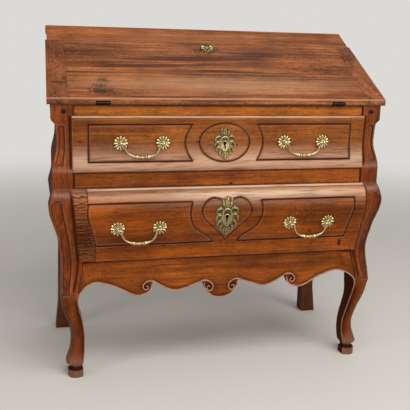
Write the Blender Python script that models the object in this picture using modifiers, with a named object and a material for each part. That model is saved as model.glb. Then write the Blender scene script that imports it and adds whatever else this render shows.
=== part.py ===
"""Slant-front desk: a two-drawer bombe case on cabriole legs, with a fall-front lid over a small gallery.

Metres, +Z up, front towards -Y. Sizes are drawn from the floor under the middle of the lid's front edge,
and the root empty then centres the whole desk over its own footprint.
"""

import math

import bmesh
import bpy
from mathutils import Matrix, Vector

# Fits
CLEARANCE = 0.0003  # between pieces that touch
RUNNING = 0.0020  # round a drawer in its opening
FACETS = 5  # steps along one swelling of a curved profile

# Heights, from the floor up
DRAWER_BASE = 0.343  # lower edge of the lower drawer
LOWER_DRAWER_HEIGHT = 0.200
MID_RAIL_HEIGHT = 0.044
UPPER_DRAWER_HEIGHT = 0.150
LOPER_SHOULDER = 0.0015  # wood between the upper drawer and the lopers
LOPER_HEIGHT = 0.0215
SLOPE_RISE = 0.194
SLOPE_ANGLE = math.radians(30.5)

# Widths and depths of the case; widths are measured in or out from the heads of the front posts
CASE_WIDTH = 0.940  # across the heads of the front posts
LID_OVERHANG = 0.010  # each end of the lid's lower edge
LID_NARROWING = 0.006  # how far each end of the lid draws in up the slope
TOP_SET_IN = 0.001
POST_WIDTH = 0.059  # from the outside of the post head to the drawer openings
SIDE_BOARD = 0.034  # from the outside of the post head to the inner face of the side panel
FLAT_TOP_DEPTH = 0.103
POST_BACK = 0.052
REAR_POST_DEPTH = 0.046
REAR_SET_IN = 0.0085  # the sides stand this far inside the front posts

# Swellings of the front corners: steps in or out from the head of the post, and the cant of the front face
HEAD_FRONT = 0.003
HEAD_CANT = 0.0035
HEAD_LENGTH = 0.010  # straight head below the top of the upper drawer
HEAD_STEP = 0.016
HOLLOW_SIDE = 0.0135
HOLLOW_FRONT = 0.0045
DIE_FRONT = 0.006
DIE_CANT = 0.002
SHOULDER_DROP = 0.015  # below the top of the lower drawer
SHOULDER_SIDE = 0.003
SHOULDER_FRONT = 0.029
SHOULDER_CANT = 0.013
BELLY_HEIGHT = 0.150  # above the lower edge of the lower drawer
BELLY_SIDE = 0.0115
BELLY_FRONT = 0.0435
BELLY_CANT = 0.0225
FLANK_HEIGHT = 0.067  # above the lower edge of the lower drawer
FLANK_SIDE = 0.0095
FLANK_FRONT = 0.029
FLANK_CANT = 0.020
NECK_SIDE = 0.0173
NECK_FRONT = 0.016
NECK_CANT = 0.020

# Cabriole legs: height, step in from the head, front of the inner edge, cant, width and depth
KNEE_HEIGHT = 0.232
KNEE_SIDE = 0.0145
KNEE_FRONT = -0.0255
KNEE_CANT = 0.004
KNEE_WIDTH = 0.046
SHIN_HEIGHT = 0.170
SHIN_SIDE = 0.0355
SHIN_FRONT = -0.018
SHIN_WIDTH = 0.0435
SHIN_DEPTH = 0.058
ANKLE_HEIGHT = 0.100
ANKLE_SIDE = 0.0415
ANKLE_FRONT = 0.003
ANKLE_WIDTH = 0.0375
ANKLE_DEPTH = 0.037
HOOF_HEIGHT = 0.047
HOOF_SIDE = 0.028
HOOF_FRONT = 0.0
HOOF_WIDTH = 0.042
HOOF_DEPTH = 0.042
BLOCK_HEIGHT = 0.022
BLOCK_SIDE = 0.0337
BLOCK_FRONT = -0.004
BLOCK_WIDTH = 0.0365
BLOCK_DEPTH = 0.038
NECKING = 0.004  # depth and half-height of the groove over the foot block
POST_CORNER = 0.003
LEG_CORNER = 0.010

# Sunk panels of the posts
POST_PANEL_WIDTH = 0.022
POST_PANEL_DEPTH = 0.003
PANEL_RIM = 0.002
PANEL_RIM_SHARE = 0.4  # of a swelling beyond the hollow, the share that widens the rim
UPPER_PANEL_FOOT = 0.014  # above the lower edge of the upper drawer
UPPER_PANEL_DROP = 0.027  # below its upper edge
LOWER_PANEL_DROP = 0.028
LEG_PANEL_RISE = 0.016  # from the knee to the foot of the panel

# Rear legs
REAR_POST_WIDTH = 0.059
REAR_ANKLE_HEIGHT = 0.090
REAR_ANKLE_SIDE = 0.020
REAR_FOOT_SIDE = 0.0104

# Boards
TOP_THICKNESS = 0.022
TOP_RAIL_WIDTH = 0.041  # up the slope, from the lid to the underside of the top
LID_THICKNESS = 0.015
LID_JOINT = 0.001  # open joint between the lid and the rail above it
CLEAT_WIDTH = 0.050
BOARD = 0.012  # dust boards, drawer sides and the back
FRIEZE_SETBACK = 0.008
FRIEZE_THICKNESS = 0.026
APRON_FRONT = 0.004
APRON_THICKNESS = 0.022
APRON_EAR = 0.016  # the apron's ends stop this far above the knee
APRON_CREST = 0.071  # from the foot of the drawer down to the crests between the lobes
DROP_HALF_WIDTH = 0.040
DROP_HEIGHT = 0.057
LOBE_SHARE = 0.443  # of the way from the centre drop to the post
LOBE_HEIGHT = 0.033
SCROLL_HEIGHT = 0.0425

# Lower edge of the apron: (share of the run, share of the height below the crest)
DROP_SHAPE = ((0, 1.05), (0.5, 0.885), (0.775, 0.51), (1, 0.07))
LOBE_SHAPE = ((0, 0.12), (0.233, 0.42), (0.552, 1), (0.798, 0.64), (1, 0))
SCROLL_SHAPE = (
    (0, 0), (0.029, 0.52), (0.107, 0.906), (0.19, 0.976), (0.298, 0.8),
    (0.498, 0.28), (0.746, -0.06), (0.893, 0.047), (0.960, 0.2),
)

# Sides
SIDE_FOOT = 0.290  # lower edge of the side panels
SIDE_ARCH = 0.030

# Drawers
DRAWER_TAPER = 0.0176  # how far each end of the lower drawer draws in towards its foot
LIP = 0.006  # overlap of a drawer front on the case
LOWER_LIP = 0.010  # at the ends of the lower drawer
PROUD = 0.005  # a drawer front stands out from the posts by this much
FRONT_BACK = 0.024  # inner face of the drawer fronts
DRAWER_BACK_GAP = 0.0243  # between a drawer and the back of the case
DRAWER_SIDE_DROP = 0.012
BOTTOM_RISE = 0.008
GROOVE_RADIUS = 0.0024

# Panels on the drawer fronts
PANEL_MARGIN = 0.0416  # from the end of the drawer
PANEL_INNER = 0.0925
PANEL_END_HOLLOW = 0.020
UPPER_PANEL_HALF_HEIGHT = 0.0505
OVAL_HALF_WIDTH = 0.072
LOWER_PANEL_MARGIN = 0.037
LOWER_PANEL_DRAW_IN = 0.018
LOWER_PANEL_TOP = 0.166  # above the lower edge of the drawer
LOWER_PANEL_BOTTOM = 0.044
PANEL_SWEEP = 0.062  # how far the inner end of a lower panel runs in towards the heart's tip

# Inner end of a lower panel and half of the heart: (share of the run, share of the height, from the top)
FLOW_SHAPE = ((0, 0), (-0.13, 0.25), (0.03, 0.48), (0.55, 0.68), (0.855, 0.82), (1, 1))
HEART_SHAPE = (
    (0, 0.11), (0.28, 0.02), (0.58, 0), (0.9, 0.11), (1, 0.26), (0.9, 0.44), (0.6, 0.63), (0.3, 0.81), (0, 1),
)
HEART_HALF_WIDTH = 0.0705
HEART_TOP = 0.177
HEART_TIP = 0.051

# Fittings
HANDLE_SPACING = 0.115
UPPER_HANDLE_INSET = 0.1856  # from the end of the drawer to the middle of the handle
UPPER_HANDLE_DROP = 0.0736  # below the upper edge of the drawer
LOWER_HANDLE_INSET = 0.1718
LOWER_HANDLE_RISE = 0.095  # above the lower edge of the drawer
ROSETTE_RADIUS = 0.0205
ROSETTE_PETALS = 12
ROSETTE_EDGE = 0.0015
ROSETTE_HEIGHT = 0.005
STUD_RADIUS = 0.0048
BAIL_STANDOFF = 0.014
BAIL_RADIUS = 0.0022
BAIL_DROP = 0.040
BEAD_SWELL = 2.0
PIN_REACH = 0.0032
ESCUTCHEON_THICKNESS = 0.002
UPPER_ESCUTCHEON = (0.060, 0.089)
LOWER_ESCUTCHEON = (0.066, 0.108)
LID_ESCUTCHEON = (0.042, 0.056)
LID_KEY_DROP = 0.035  # from the lid's upper edge to the middle of its key plate
KEYHOLE_RADIUS = 0.0035
KEYHOLE_LENGTH = 0.013
LOCK = (0.064, 0.044, 0.012)
BARREL_RADIUS = 0.0045
BARREL_LENGTH = 0.037
HINGE_INSET = 0.077  # from the side of the drawer opening to the middle of the hinge
LEAF = 0.0015
LEAF_REACH = 0.020
HINGE_PIN = 0.0016
LOPER_WIDTH = 0.024
LOPER_SET_IN = 0.014  # from the side of the drawer opening
LOPER_FRONT = 0.005
LOPER_LENGTH = 0.300
KNOB_RADIUS = 0.0055
KNOB_LENGTH = 0.013

# Gallery behind the lid
GALLERY_DEPTH = 0.1463
GALLERY_HEIGHT = 0.056
GALLERY_BOARD = 0.008
TRAY_WALL = 0.006
TRAY_GAP = 0.0063  # between a small drawer and the rear posts
SMALL_KNOB_RADIUS = 0.007
SMALL_KNOB_LENGTH = 0.014

# Levels that follow from the sizes above
SLOPE = math.tan(SLOPE_ANGLE)
LOWER_TOP = DRAWER_BASE + LOWER_DRAWER_HEIGHT
UPPER_BASE = LOWER_TOP + MID_RAIL_HEIGHT
UPPER_TOP = UPPER_BASE + UPPER_DRAWER_HEIGHT
LOPER_BASE = UPPER_TOP + LOPER_SHOULDER
OPEN_LID_UNDERSIDE = LOPER_BASE + LOPER_HEIGHT + CLEARANCE
HINGE_Z = OPEN_LID_UNDERSIDE + LID_THICKNESS - BARREL_RADIUS
LID_EDGE_Z = HINGE_Z + (LID_THICKNESS - BARREL_RADIUS) / math.cos(SLOPE_ANGLE)
LID_UNDER_Z = LID_EDGE_Z - LID_THICKNESS / math.cos(SLOPE_ANGLE)
TOP_Z = LID_EDGE_Z + SLOPE_RISE
CEILING = TOP_Z - TOP_THICKNESS
TOP_EDGE_Y = SLOPE_RISE / SLOPE
CASE_BACK = TOP_EDGE_Y + FLAT_TOP_DEPTH
REAR_POST_FRONT = CASE_BACK - REAR_POST_DEPTH
BACK_FACE = CASE_BACK - 2 * BOARD  # inner face of the back panel
LID_LENGTH = (CEILING - LID_EDGE_Z) / math.sin(SLOPE_ANGLE) - TOP_RAIL_WIDTH - LID_JOINT
WRITING_LEVEL = OPEN_LID_UNDERSIDE + LID_THICKNESS
FLOOR_FRONT = FRIEZE_SETBACK + FRIEZE_THICKNESS
DRAWER_END = BACK_FACE - DRAWER_BACK_GAP
GALLERY_FRONT = BACK_FACE - GALLERY_DEPTH
GALLERY_TOP = WRITING_LEVEL + GALLERY_HEIGHT
TRAY_END = REAR_POST_FRONT - TRAY_GAP
LEG_PANEL_END = KNEE_HEIGHT + LEG_PANEL_RISE

# Half-widths that follow from the width of the case
HALF_CASE = CASE_WIDTH / 2
HALF_LID = HALF_CASE + LID_OVERHANG
HALF_LID_TOP = HALF_LID - LID_NARROWING
HALF_TOP = HALF_CASE - TOP_SET_IN
HALF_INNER = HALF_CASE - SIDE_BOARD
HALF_OPENING = HALF_CASE - POST_WIDTH
HALF_DRAWER = HALF_OPENING + LIP
PANEL_OUTER = HALF_DRAWER - PANEL_MARGIN
LOWER_PANEL_OUTER = HALF_DRAWER - LOWER_PANEL_MARGIN
UPPER_HANDLE_X = HALF_DRAWER - UPPER_HANDLE_INSET
LOWER_HANDLE_X = HALF_DRAWER - LOWER_HANDLE_INSET
HINGE_X = HALF_OPENING - HINGE_INSET
LOPER_INNER = HALF_OPENING + LOPER_SET_IN
LOPER_OUTER = LOPER_INNER + LOPER_WIDTH
REAR_POST_INNER = HALF_CASE - REAR_POST_WIDTH

# Planes for flat outlines: across the front, and along the lid
FRONT_PLANE = Matrix(((1, 0, 0, 0), (0, 0, -1, 0), (0, 1, 0, 0), (0, 0, 0, 1)))
LID_PLANE = Matrix.Translation((0, 0, HINGE_Z)) @ Matrix.Rotation(SLOPE_ANGLE, 4, "X")

FINISHES = {
    "lid_walnut": ((0.27, 0.125, 0.055), 0.42, 0.0),
    "case_walnut": ((0.26, 0.095, 0.032), 0.45, 0.0),
    "post_walnut": ((0.20, 0.06, 0.022), 0.42, 0.0),
    "drawer_walnut": ((0.28, 0.105, 0.036), 0.40, 0.0),
    "inner_oak": ((0.36, 0.21, 0.10), 0.6, 0.0),
    "gilt_brass": ((0.58, 0.46, 0.20), 0.32, 1.0),
    "forged_iron": ((0.03, 0.027, 0.025), 0.5, 0.9),
}


class Desk:
    """The collections, finishes and empties that the pieces are hung on."""

    def __init__(self):
        for old in list(bpy.data.objects):
            bpy.data.objects.remove(old, do_unlink=True)
        self.parts = self.collection("slant_front_desk")
        self.cutters = self.collection("cutters")
        self.cutters.hide_render = True
        self.finishes = {name: self.finish(name, *look) for name, look in FINISHES.items()}
        self.root = self.empty("desk_root", None, (0, 0, 0))

    def collection(self, name):
        made = bpy.data.collections.new(name)
        bpy.context.scene.collection.children.link(made)
        return made

    def finish(self, name, colour, roughness, metallic):
        material = bpy.data.materials.new(name)
        material.use_nodes = True
        shader = material.node_tree.nodes["Principled BSDF"]
        shader.inputs["Base Color"].default_value = (*colour, 1)
        shader.inputs["Roughness"].default_value = roughness
        shader.inputs["Metallic"].default_value = metallic
        material.diffuse_color = (*colour, 1)
        return material

    def empty(self, name, parent, place):
        holder = bpy.data.objects.new(name, None)
        self.parts.objects.link(holder)
        holder.parent = parent
        holder.location = place
        return holder

    def assembly(self, name):
        return self.empty(name, self.root, (0, 0, 0))

    def add(self, name, mesh, finish, holder=None, origin=(0, 0, 0)):
        """Name a mesh drawn in desk coordinates and put its origin on the given point."""
        mesh.transform(Matrix.Translation(-Vector(origin)))
        mesh.materials.append(self.finishes[finish])
        piece = bpy.data.objects.new(name, mesh)
        self.parts.objects.link(piece)
        piece.parent = holder or self.root
        piece.location = origin
        return piece

    def cutter(self, name, mesh):
        tool = bpy.data.objects.new(name, mesh)
        self.cutters.objects.link(tool)
        tool.parent = self.root
        tool.hide_render = True
        tool.display_type = "WIRE"
        return tool

    def centre(self):
        """Move the root so that the desk stands over the middle of its footprint."""
        bpy.context.view_layer.update()
        graph = bpy.context.evaluated_depsgraph_get()
        depths = []
        for piece in self.parts.objects:
            if piece.type == "MESH":
                solid = piece.evaluated_get(graph)
                depths += [(solid.matrix_world @ Vector(corner)).y for corner in solid.bound_box]
        self.root.location.y = -(min(depths) + max(depths)) / 2
        print("desk datum stands at y =", round(self.root.location.y, 6))


def boolean(piece, tool, operation="DIFFERENCE"):
    change = piece.modifiers.new(tool.name, "BOOLEAN")
    change.operation = operation
    change.object = tool


def side_name(side):
    return "left" if side < 0 else "right"


def finished(bm, name):
    """Turn a bmesh into a mesh with its faces pointing out."""
    bmesh.ops.recalc_face_normals(bm, faces=bm.faces[:])
    mesh = bpy.data.meshes.new(name)
    bm.to_mesh(mesh)
    bm.free()
    return mesh


def box(low, high):
    bm = bmesh.new()
    bmesh.ops.create_cube(bm, size=1)
    low, high = Vector(low), Vector(high)
    bmesh.ops.transform(bm, matrix=Matrix.Diagonal((*(high - low), 1)), verts=bm.verts[:])
    bmesh.ops.translate(bm, vec=(low + high) / 2, verts=bm.verts[:])
    return finished(bm, "box")


def eased_box(low, high, easing):
    """A box with its edges eased off."""
    mesh = box(low, high)
    bm = bmesh.new()
    bm.from_mesh(mesh)
    bpy.data.meshes.remove(mesh)
    bmesh.ops.bevel(bm, geom=bm.edges[:], offset=easing, segments=1, affect="EDGES")
    return finished(bm, "eased_box")


def rod(start, end, radius, sides=12):
    """A round rod between two points."""
    start, end = Vector(start), Vector(end)
    bm = bmesh.new()
    bmesh.ops.create_cone(
        bm, cap_ends=True, segments=sides, radius1=radius, radius2=radius, depth=(end - start).length
    )
    turn = Vector((0, 0, 1)).rotation_difference(end - start).to_matrix().to_4x4()
    bmesh.ops.transform(bm, matrix=Matrix.Translation((start + end) / 2) @ turn, verts=bm.verts[:])
    return finished(bm, "rod")


def loft(rings):
    """A closed skin through rings of points, with a face over each end."""
    bm = bmesh.new()
    rows = [[bm.verts.new(point) for point in ring] for ring in rings]
    count = len(rows[0])
    for row, following in zip(rows, rows[1:]):
        for i in range(count):
            j = (i + 1) % count
            bm.faces.new((row[i], row[j], following[j], following[i]))
    bm.faces.new(rows[0])
    bm.faces.new(rows[-1])
    return finished(bm, "loft")


def bar(profile, reach):
    """A moulding across the desk: a (y, z) profile whose ends stand at plus and minus reach(y, z)."""
    return loft([[(side * reach(y, z), y, z) for y, z in profile] for side in (-1, 1)])


def curve_mesh(curve, frame):
    """The solid of a curve as a welded mesh, moved by a frame."""
    holder = bpy.data.objects.new("curve", curve)
    bpy.context.scene.collection.objects.link(holder)
    graph = bpy.context.evaluated_depsgraph_get()
    mesh = bpy.data.meshes.new_from_object(holder.evaluated_get(graph))
    bpy.data.objects.remove(holder)
    bpy.data.curves.remove(curve)
    bm = bmesh.new()
    bm.from_mesh(mesh)
    bpy.data.meshes.remove(mesh)
    bmesh.ops.remove_doubles(bm, verts=bm.verts[:], dist=1e-6)
    bmesh.ops.transform(bm, matrix=frame, verts=bm.verts[:])
    return finished(bm, "curve")


def add_spline(curve, points, closed, swell=None):
    spline = curve.splines.new("POLY")
    spline.points.add(len(points) - 1)
    for i, point in enumerate(points):
        spline.points[i].co = (*point, 1)
        spline.points[i].radius = swell[i] if swell else 1
    spline.use_cyclic_u = closed


def plate(outlines, low, high, frame):
    """A plate from closed flat outlines, between two distances along the normal of its plane."""
    curve = bpy.data.curves.new("outline", "CURVE")
    curve.dimensions = "2D"
    curve.fill_mode = "BOTH"
    curve.extrude = (high - low) / 2
    for outline in outlines:
        add_spline(curve, [(a, b, 0) for a, b in outline], True)
    return curve_mesh(curve, frame @ Matrix.Translation((0, 0, (low + high) / 2)))


def tube(points, radius, closed=False, swell=None, resolution=1):
    curve = bpy.data.curves.new("tube", "CURVE")
    curve.dimensions = "3D"
    curve.bevel_depth = radius
    curve.bevel_resolution = resolution
    curve.use_fill_caps = not closed
    add_spline(curve, points, closed, swell)
    return curve_mesh(curve, Matrix.Identity(4))


def turned(profile, frame, steps=16):
    """A turned piece: (radius, height) points from its top down, spun round the frame's Z axis."""
    mesh = bpy.data.meshes.new("profile")
    mesh.from_pydata([(r, 0, h) for r, h in profile], [(i, i + 1) for i in range(len(profile) - 1)], [])
    holder = bpy.data.objects.new("turned", mesh)
    bpy.context.scene.collection.objects.link(holder)
    spin = holder.modifiers.new("spin", "SCREW")
    spin.steps = steps
    spin.render_steps = steps
    spin.use_merge_vertices = True
    spin.merge_threshold = 0.00005
    graph = bpy.context.evaluated_depsgraph_get()
    solid = bpy.data.meshes.new_from_object(holder.evaluated_get(graph))
    bpy.data.objects.remove(holder)
    bpy.data.meshes.remove(mesh)
    bm = bmesh.new()
    bm.from_mesh(solid)
    bpy.data.meshes.remove(solid)
    bmesh.ops.remove_doubles(bm, verts=bm.verts[:], dist=1e-6)
    bmesh.ops.transform(bm, matrix=frame, verts=bm.verts[:])
    return finished(bm, "turned")


def joined(meshes):
    """Several closed meshes made into one by Boolean unions."""
    first = bpy.data.objects.new("joined", meshes[0])
    bpy.context.scene.collection.objects.link(first)
    others = []
    for mesh in meshes[1:]:
        other = bpy.data.objects.new("joining", mesh)
        bpy.context.scene.collection.objects.link(other)
        boolean(first, other, "UNION")
        others.append(other)
    graph = bpy.context.evaluated_depsgraph_get()
    whole = bpy.data.meshes.new_from_object(first.evaluated_get(graph))
    for holder in [first, *others]:
        bpy.data.objects.remove(holder)
    return whole


def smooth_through(points, steps=4):
    """A smooth run through points of any dimension, with `steps` spans between neighbours."""
    padded = [points[0], *points, points[-1]]
    run = []
    for p0, p1, p2, p3 in zip(padded, padded[1:], padded[2:], padded[3:]):
        for i in range(steps):
            t = i / steps
            place = []
            for a, b, c, d in zip(p0, p1, p2, p3):
                bend = (2 * a - 5 * b + 4 * c - d) / 2 + t * (3 * b - a - 3 * c + d) / 2
                place.append(b + t * ((c - a) / 2 + t * bend))
            run.append(tuple(place))
    return [*run, tuple(points[-1])]


def grade(stations, i, column):
    """Slope of a station's value against height: level at each end and at each high or low."""
    if i in (0, len(stations) - 1):
        return 0
    below, here, above = stations[i - 1], stations[i], stations[i + 1]
    under = (here[column] - below[column]) / (here[0] - below[0])
    over = (above[column] - here[column]) / (above[0] - here[0])
    return 2 * under * over / (under + over) if under * over > 0 else 0


def eased(stations, z, column):
    """A value that runs smoothly from station to station; each station starts with its height."""
    if z <= stations[0][0]:
        return stations[0][column]
    for i in range(len(stations) - 1):
        low, high = stations[i], stations[i + 1]
        if z <= high[0]:
            span = high[0] - low[0]
            t = (z - low[0]) / span
            rise = high[column] - low[column]
            start, end = span * grade(stations, i, column), span * grade(stations, i + 1, column)
            bend = 3 * rise - 2 * start - end + t * (start + end - 2 * rise)
            return low[column] + t * (start + t * bend)
    return stations[-1][column]


def corner_stations():
    """(height, outer half-width, front of the inner edge, cant) up the corner, from the knee to the head."""
    hollow, head = (UPPER_BASE + UPPER_TOP) / 2, UPPER_TOP - HEAD_LENGTH

    def row(z, outward, forward, cant):
        return (z, HALF_CASE + outward, HEAD_FRONT - forward, cant)

    return [
        (KNEE_HEIGHT, HALF_CASE - KNEE_SIDE, KNEE_FRONT, KNEE_CANT),
        row(DRAWER_BASE, -NECK_SIDE, NECK_FRONT, NECK_CANT),
        row(DRAWER_BASE + FLANK_HEIGHT, -FLANK_SIDE, FLANK_FRONT, FLANK_CANT),
        row(DRAWER_BASE + BELLY_HEIGHT, BELLY_SIDE, BELLY_FRONT, BELLY_CANT),
        row(LOWER_TOP - SHOULDER_DROP, SHOULDER_SIDE, SHOULDER_FRONT, SHOULDER_CANT),
        row(LOWER_TOP, 0, DIE_FRONT, DIE_CANT),
        row(UPPER_BASE, 0, DIE_FRONT, DIE_CANT),
        row(hollow, -HOLLOW_SIDE, -HOLLOW_FRONT, HEAD_CANT),
        row(head - HEAD_STEP, -0.85 * HOLLOW_SIDE, -0.5 * HOLLOW_FRONT, HEAD_CANT),
        row(head, 0, 0, HEAD_CANT),
    ]


def leg_stations():
    """(height, outer half-width, front of the inner edge, cant, width, back) from the floor to the knee."""
    def row(z, inward, front, width, depth, inset=0):
        outer, back = HALF_CASE - inward - inset, front + depth - inset
        return (z, outer, front + inset, KNEE_CANT, width - 2 * inset, back)

    return [
        row(0, BLOCK_SIDE, BLOCK_FRONT, BLOCK_WIDTH, BLOCK_DEPTH),
        row(BLOCK_HEIGHT, BLOCK_SIDE, BLOCK_FRONT, BLOCK_WIDTH, BLOCK_DEPTH),
        row(BLOCK_HEIGHT + NECKING, BLOCK_SIDE, BLOCK_FRONT, BLOCK_WIDTH, BLOCK_DEPTH, NECKING),
        row(HOOF_HEIGHT, HOOF_SIDE, HOOF_FRONT, HOOF_WIDTH, HOOF_DEPTH),
        row(ANKLE_HEIGHT, ANKLE_SIDE, ANKLE_FRONT, ANKLE_WIDTH, ANKLE_DEPTH),
        row(SHIN_HEIGHT, SHIN_SIDE, SHIN_FRONT, SHIN_WIDTH, SHIN_DEPTH),
        row(KNEE_HEIGHT, KNEE_SIDE, KNEE_FRONT, KNEE_WIDTH, POST_BACK - KNEE_FRONT),
    ]


CORNER = corner_stations()
LEG = leg_stations()


def corner_outer(z):
    return eased(CORNER, z, 1)


def corner_front(z):
    return eased(CORNER, z, 2)


def opening_half(z):
    """Half-width of the drawer openings: straight above, drawn in towards the foot of the lower drawer."""
    drop = min(max((LOWER_TOP - z) / LOWER_DRAWER_HEIGHT, 0), 1)
    return HALF_OPENING - DRAWER_TAPER * drop


def post_inner(z):
    """Inner edge of the front post: along the openings, then easing into the knee."""
    if z >= DRAWER_BASE:
        return opening_half(z)
    knee_inner = HALF_CASE - KNEE_SIDE - KNEE_WIDTH
    return eased([(KNEE_HEIGHT, knee_inner), (DRAWER_BASE, opening_half(DRAWER_BASE))], z, 1)


def front_face(z):
    """Front surface of the drawer fronts."""
    return corner_front(z) - PROUD


def steps_between(low, high, count):
    return [low + (high - low) * i / count for i in range(count + 1)]


def curve_heights(low, high):
    """Heights that follow the corner's swellings between two levels."""
    stops = [low, *[s[0] for s in CORNER if low < s[0] < high], high]
    heights = []
    for a, b in zip(stops, stops[1:]):
        heights += steps_between(a, b, FACETS)[:-1]
    return [*heights, high]


def lid_half(y):
    """Half-width of the lid, which narrows a little up the slope."""
    return HALF_LID - LID_NARROWING * y / (LID_LENGTH * math.cos(SLOPE_ANGLE))


def on_slope(reach, depth=0):
    """(y, z) of a point up the lid's outer face, and some way in behind it."""
    along, across = math.cos(SLOPE_ANGLE), math.sin(SLOPE_ANGLE)
    return (reach * along + depth * across, LID_EDGE_Z + reach * across - depth * along)


def lid_space():
    """A block over the underside of the closed lid, to trim what carries the lid."""
    reach = 4 * HALF_LID
    mesh = box((-reach, -reach, -BARREL_RADIUS - CLEARANCE), (reach, reach, reach))
    mesh.transform(LID_PLANE)
    return mesh


def post_ring(z, side):
    """Section of the front post: a canted face with a sunk panel and a rounded outer corner."""
    if z < KNEE_HEIGHT:
        outer, front, cant, width, back = (eased(LEG, z, column) for column in range(1, 6))
        inner = outer - width
    else:
        outer, front, cant = (eased(CORNER, z, column) for column in range(1, 4))
        inner, back = post_inner(z), POST_BACK
    sunk = POST_PANEL_DEPTH if any(low <= z <= high for low, high in post_panels()) else 0
    corner = eased([(KNEE_HEIGHT, LEG_CORNER), (LEG_PANEL_END, POST_CORNER)], z, 1)
    panel = min(POST_PANEL_WIDTH, (outer - corner - inner) / 2)
    rim = PANEL_RIM + PANEL_RIM_SHARE * max(outer - HALF_CASE + HOLLOW_SIDE, 0)
    end = max(outer - corner - rim, inner + 1.2 * panel)
    slant = min(sunk, panel / 4)

    def face(x, depth=0):
        return (x, front + cant * (x - inner) / (outer - inner) + depth)

    outline = [(inner, back), face(inner), face(end - panel), face(end - panel + slant, sunk),
               face(end - slant, sunk), face(end)]
    for step in range(4):
        turn = step * math.pi / 6
        outline.append(face(outer - corner * (1 - math.sin(turn)), corner * (1 - math.cos(turn))))
    outline.append((outer, back))
    return [(side * x, y, z) for x, y in outline]


def post_panels():
    """Lower and upper ends of the sunk panels."""
    upper = (UPPER_BASE + UPPER_PANEL_FOOT, UPPER_TOP - UPPER_PANEL_DROP)
    return ((LEG_PANEL_END, LOWER_TOP - LOWER_PANEL_DROP), upper)


def post_heights():
    """Ring heights: feet, leg curves, post curves and both ends of each sunk panel."""
    heights = [s[0] for s in LEG[:3]]
    for low, high in post_panels():
        heights += [low - POST_PANEL_DEPTH / 2, low, high, high + POST_PANEL_DEPTH / 2]
    for low, high in zip(LEG[2:], LEG[3:]):
        heights += steps_between(low[0], high[0], FACETS - 1)
    heights += curve_heights(KNEE_HEIGHT, WRITING_LEVEL + 2 * LID_THICKNESS)
    return sorted({round(z, 6) for z in heights})


def build_posts(desk, space):
    """Front posts that run down into cabriole legs, and the square rear posts."""
    for side in (-1, 1):
        rings = [post_ring(z, side) for z in post_heights()]
        post = desk.add(f"front_{side_name(side)}_post", loft(rings), "post_walnut")
        boolean(post, space)
        ends = sorted((side * (LOPER_INNER - CLEARANCE), side * (LOPER_OUTER + CLEARANCE)))
        low = (ends[0], -POST_BACK, LOPER_BASE - CLEARANCE)
        mortise = box(low, (ends[1], 2 * POST_BACK, OPEN_LID_UNDERSIDE))
        boolean(post, desk.cutter(f"{side_name(side)}_loper_mortise", mortise))
        desk.add(f"rear_{side_name(side)}_post", loft(rear_rings(side)), "post_walnut")


def rear_outer(z):
    """Outer face of the sides and rear posts, following the front corner a little way in."""
    return corner_outer(z) - REAR_SET_IN


def rear_rings(side):
    heights = [0, REAR_ANKLE_HEIGHT, *curve_heights(SIDE_FOOT, CEILING - CLEARANCE)]
    outers = [HALF_CASE - REAR_FOOT_SIDE, HALF_CASE - REAR_ANKLE_SIDE]
    outers += [rear_outer(z) for z in heights[2:]]
    rings = []
    for z, outer in zip(heights, outers):
        corners = ((REAR_POST_INNER, REAR_POST_FRONT), (REAR_POST_INNER, CASE_BACK),
                   (outer, CASE_BACK), (outer, REAR_POST_FRONT))
        rings.append([(side * x, y, z) for x, y in corners])
    return rings


def build_sides(desk, space):
    """Side panels, flat inside and swelling outside, with an arched foot and a channel for the loper."""
    front, rear = POST_BACK + CLEARANCE, REAR_POST_FRONT - CLEARANCE
    span = rear - front
    arch = [(front + span * (0.12 + 0.76 * i / 12), SIDE_FOOT + SIDE_ARCH * math.sin(math.pi * i / 12))
            for i in range(13)]
    arch_mesh = bar([*arch, (arch[-1][0], 0), (arch[0][0], 0)], lambda y, z: 2 * HALF_LID)
    arch_tool = desk.cutter("side_arch", arch_mesh)
    for side in (-1, 1):
        rings = []
        for z in curve_heights(SIDE_FOOT, CEILING - CLEARANCE):
            corners = ((HALF_INNER, front), (HALF_INNER, rear), (rear_outer(z), rear), (rear_outer(z), front))
            rings.append([(side * x, y, z) for x, y in corners])
        panel = desk.add(f"{side_name(side)}_side_panel", loft(rings), "case_walnut")
        boolean(panel, space)
        boolean(panel, arch_tool)
        ends = sorted((side * (HALF_INNER - RUNNING), side * (LOPER_OUTER + CLEARANCE)))
        channel = box((ends[0], 0, LOPER_BASE - CLEARANCE),
                      (ends[1], LOPER_FRONT + LOPER_LENGTH + RUNNING, OPEN_LID_UNDERSIDE))
        boolean(panel, desk.cutter(f"{side_name(side)}_loper_channel", channel))


def floor_board(low, high, front, tongue=None):
    """A horizontal board between the sides, cut round the rear posts, with a tongue at the front."""
    inside, rear = HALF_INNER - CLEARANCE, REAR_POST_INNER - CLEARANCE
    shoulder = POST_BACK + CLEARANCE
    notch = REAR_POST_FRONT - CLEARANCE
    right = [(tongue, front), (tongue, shoulder), (inside, shoulder)] if tongue else [(inside, front)]
    right += [(inside, notch), (rear, notch), (rear, BACK_FACE - CLEARANCE)]
    outline = [*right, *[(-x, y) for x, y in reversed(right)]]
    return plate([outline], low, high, Matrix.Identity(4))


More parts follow.
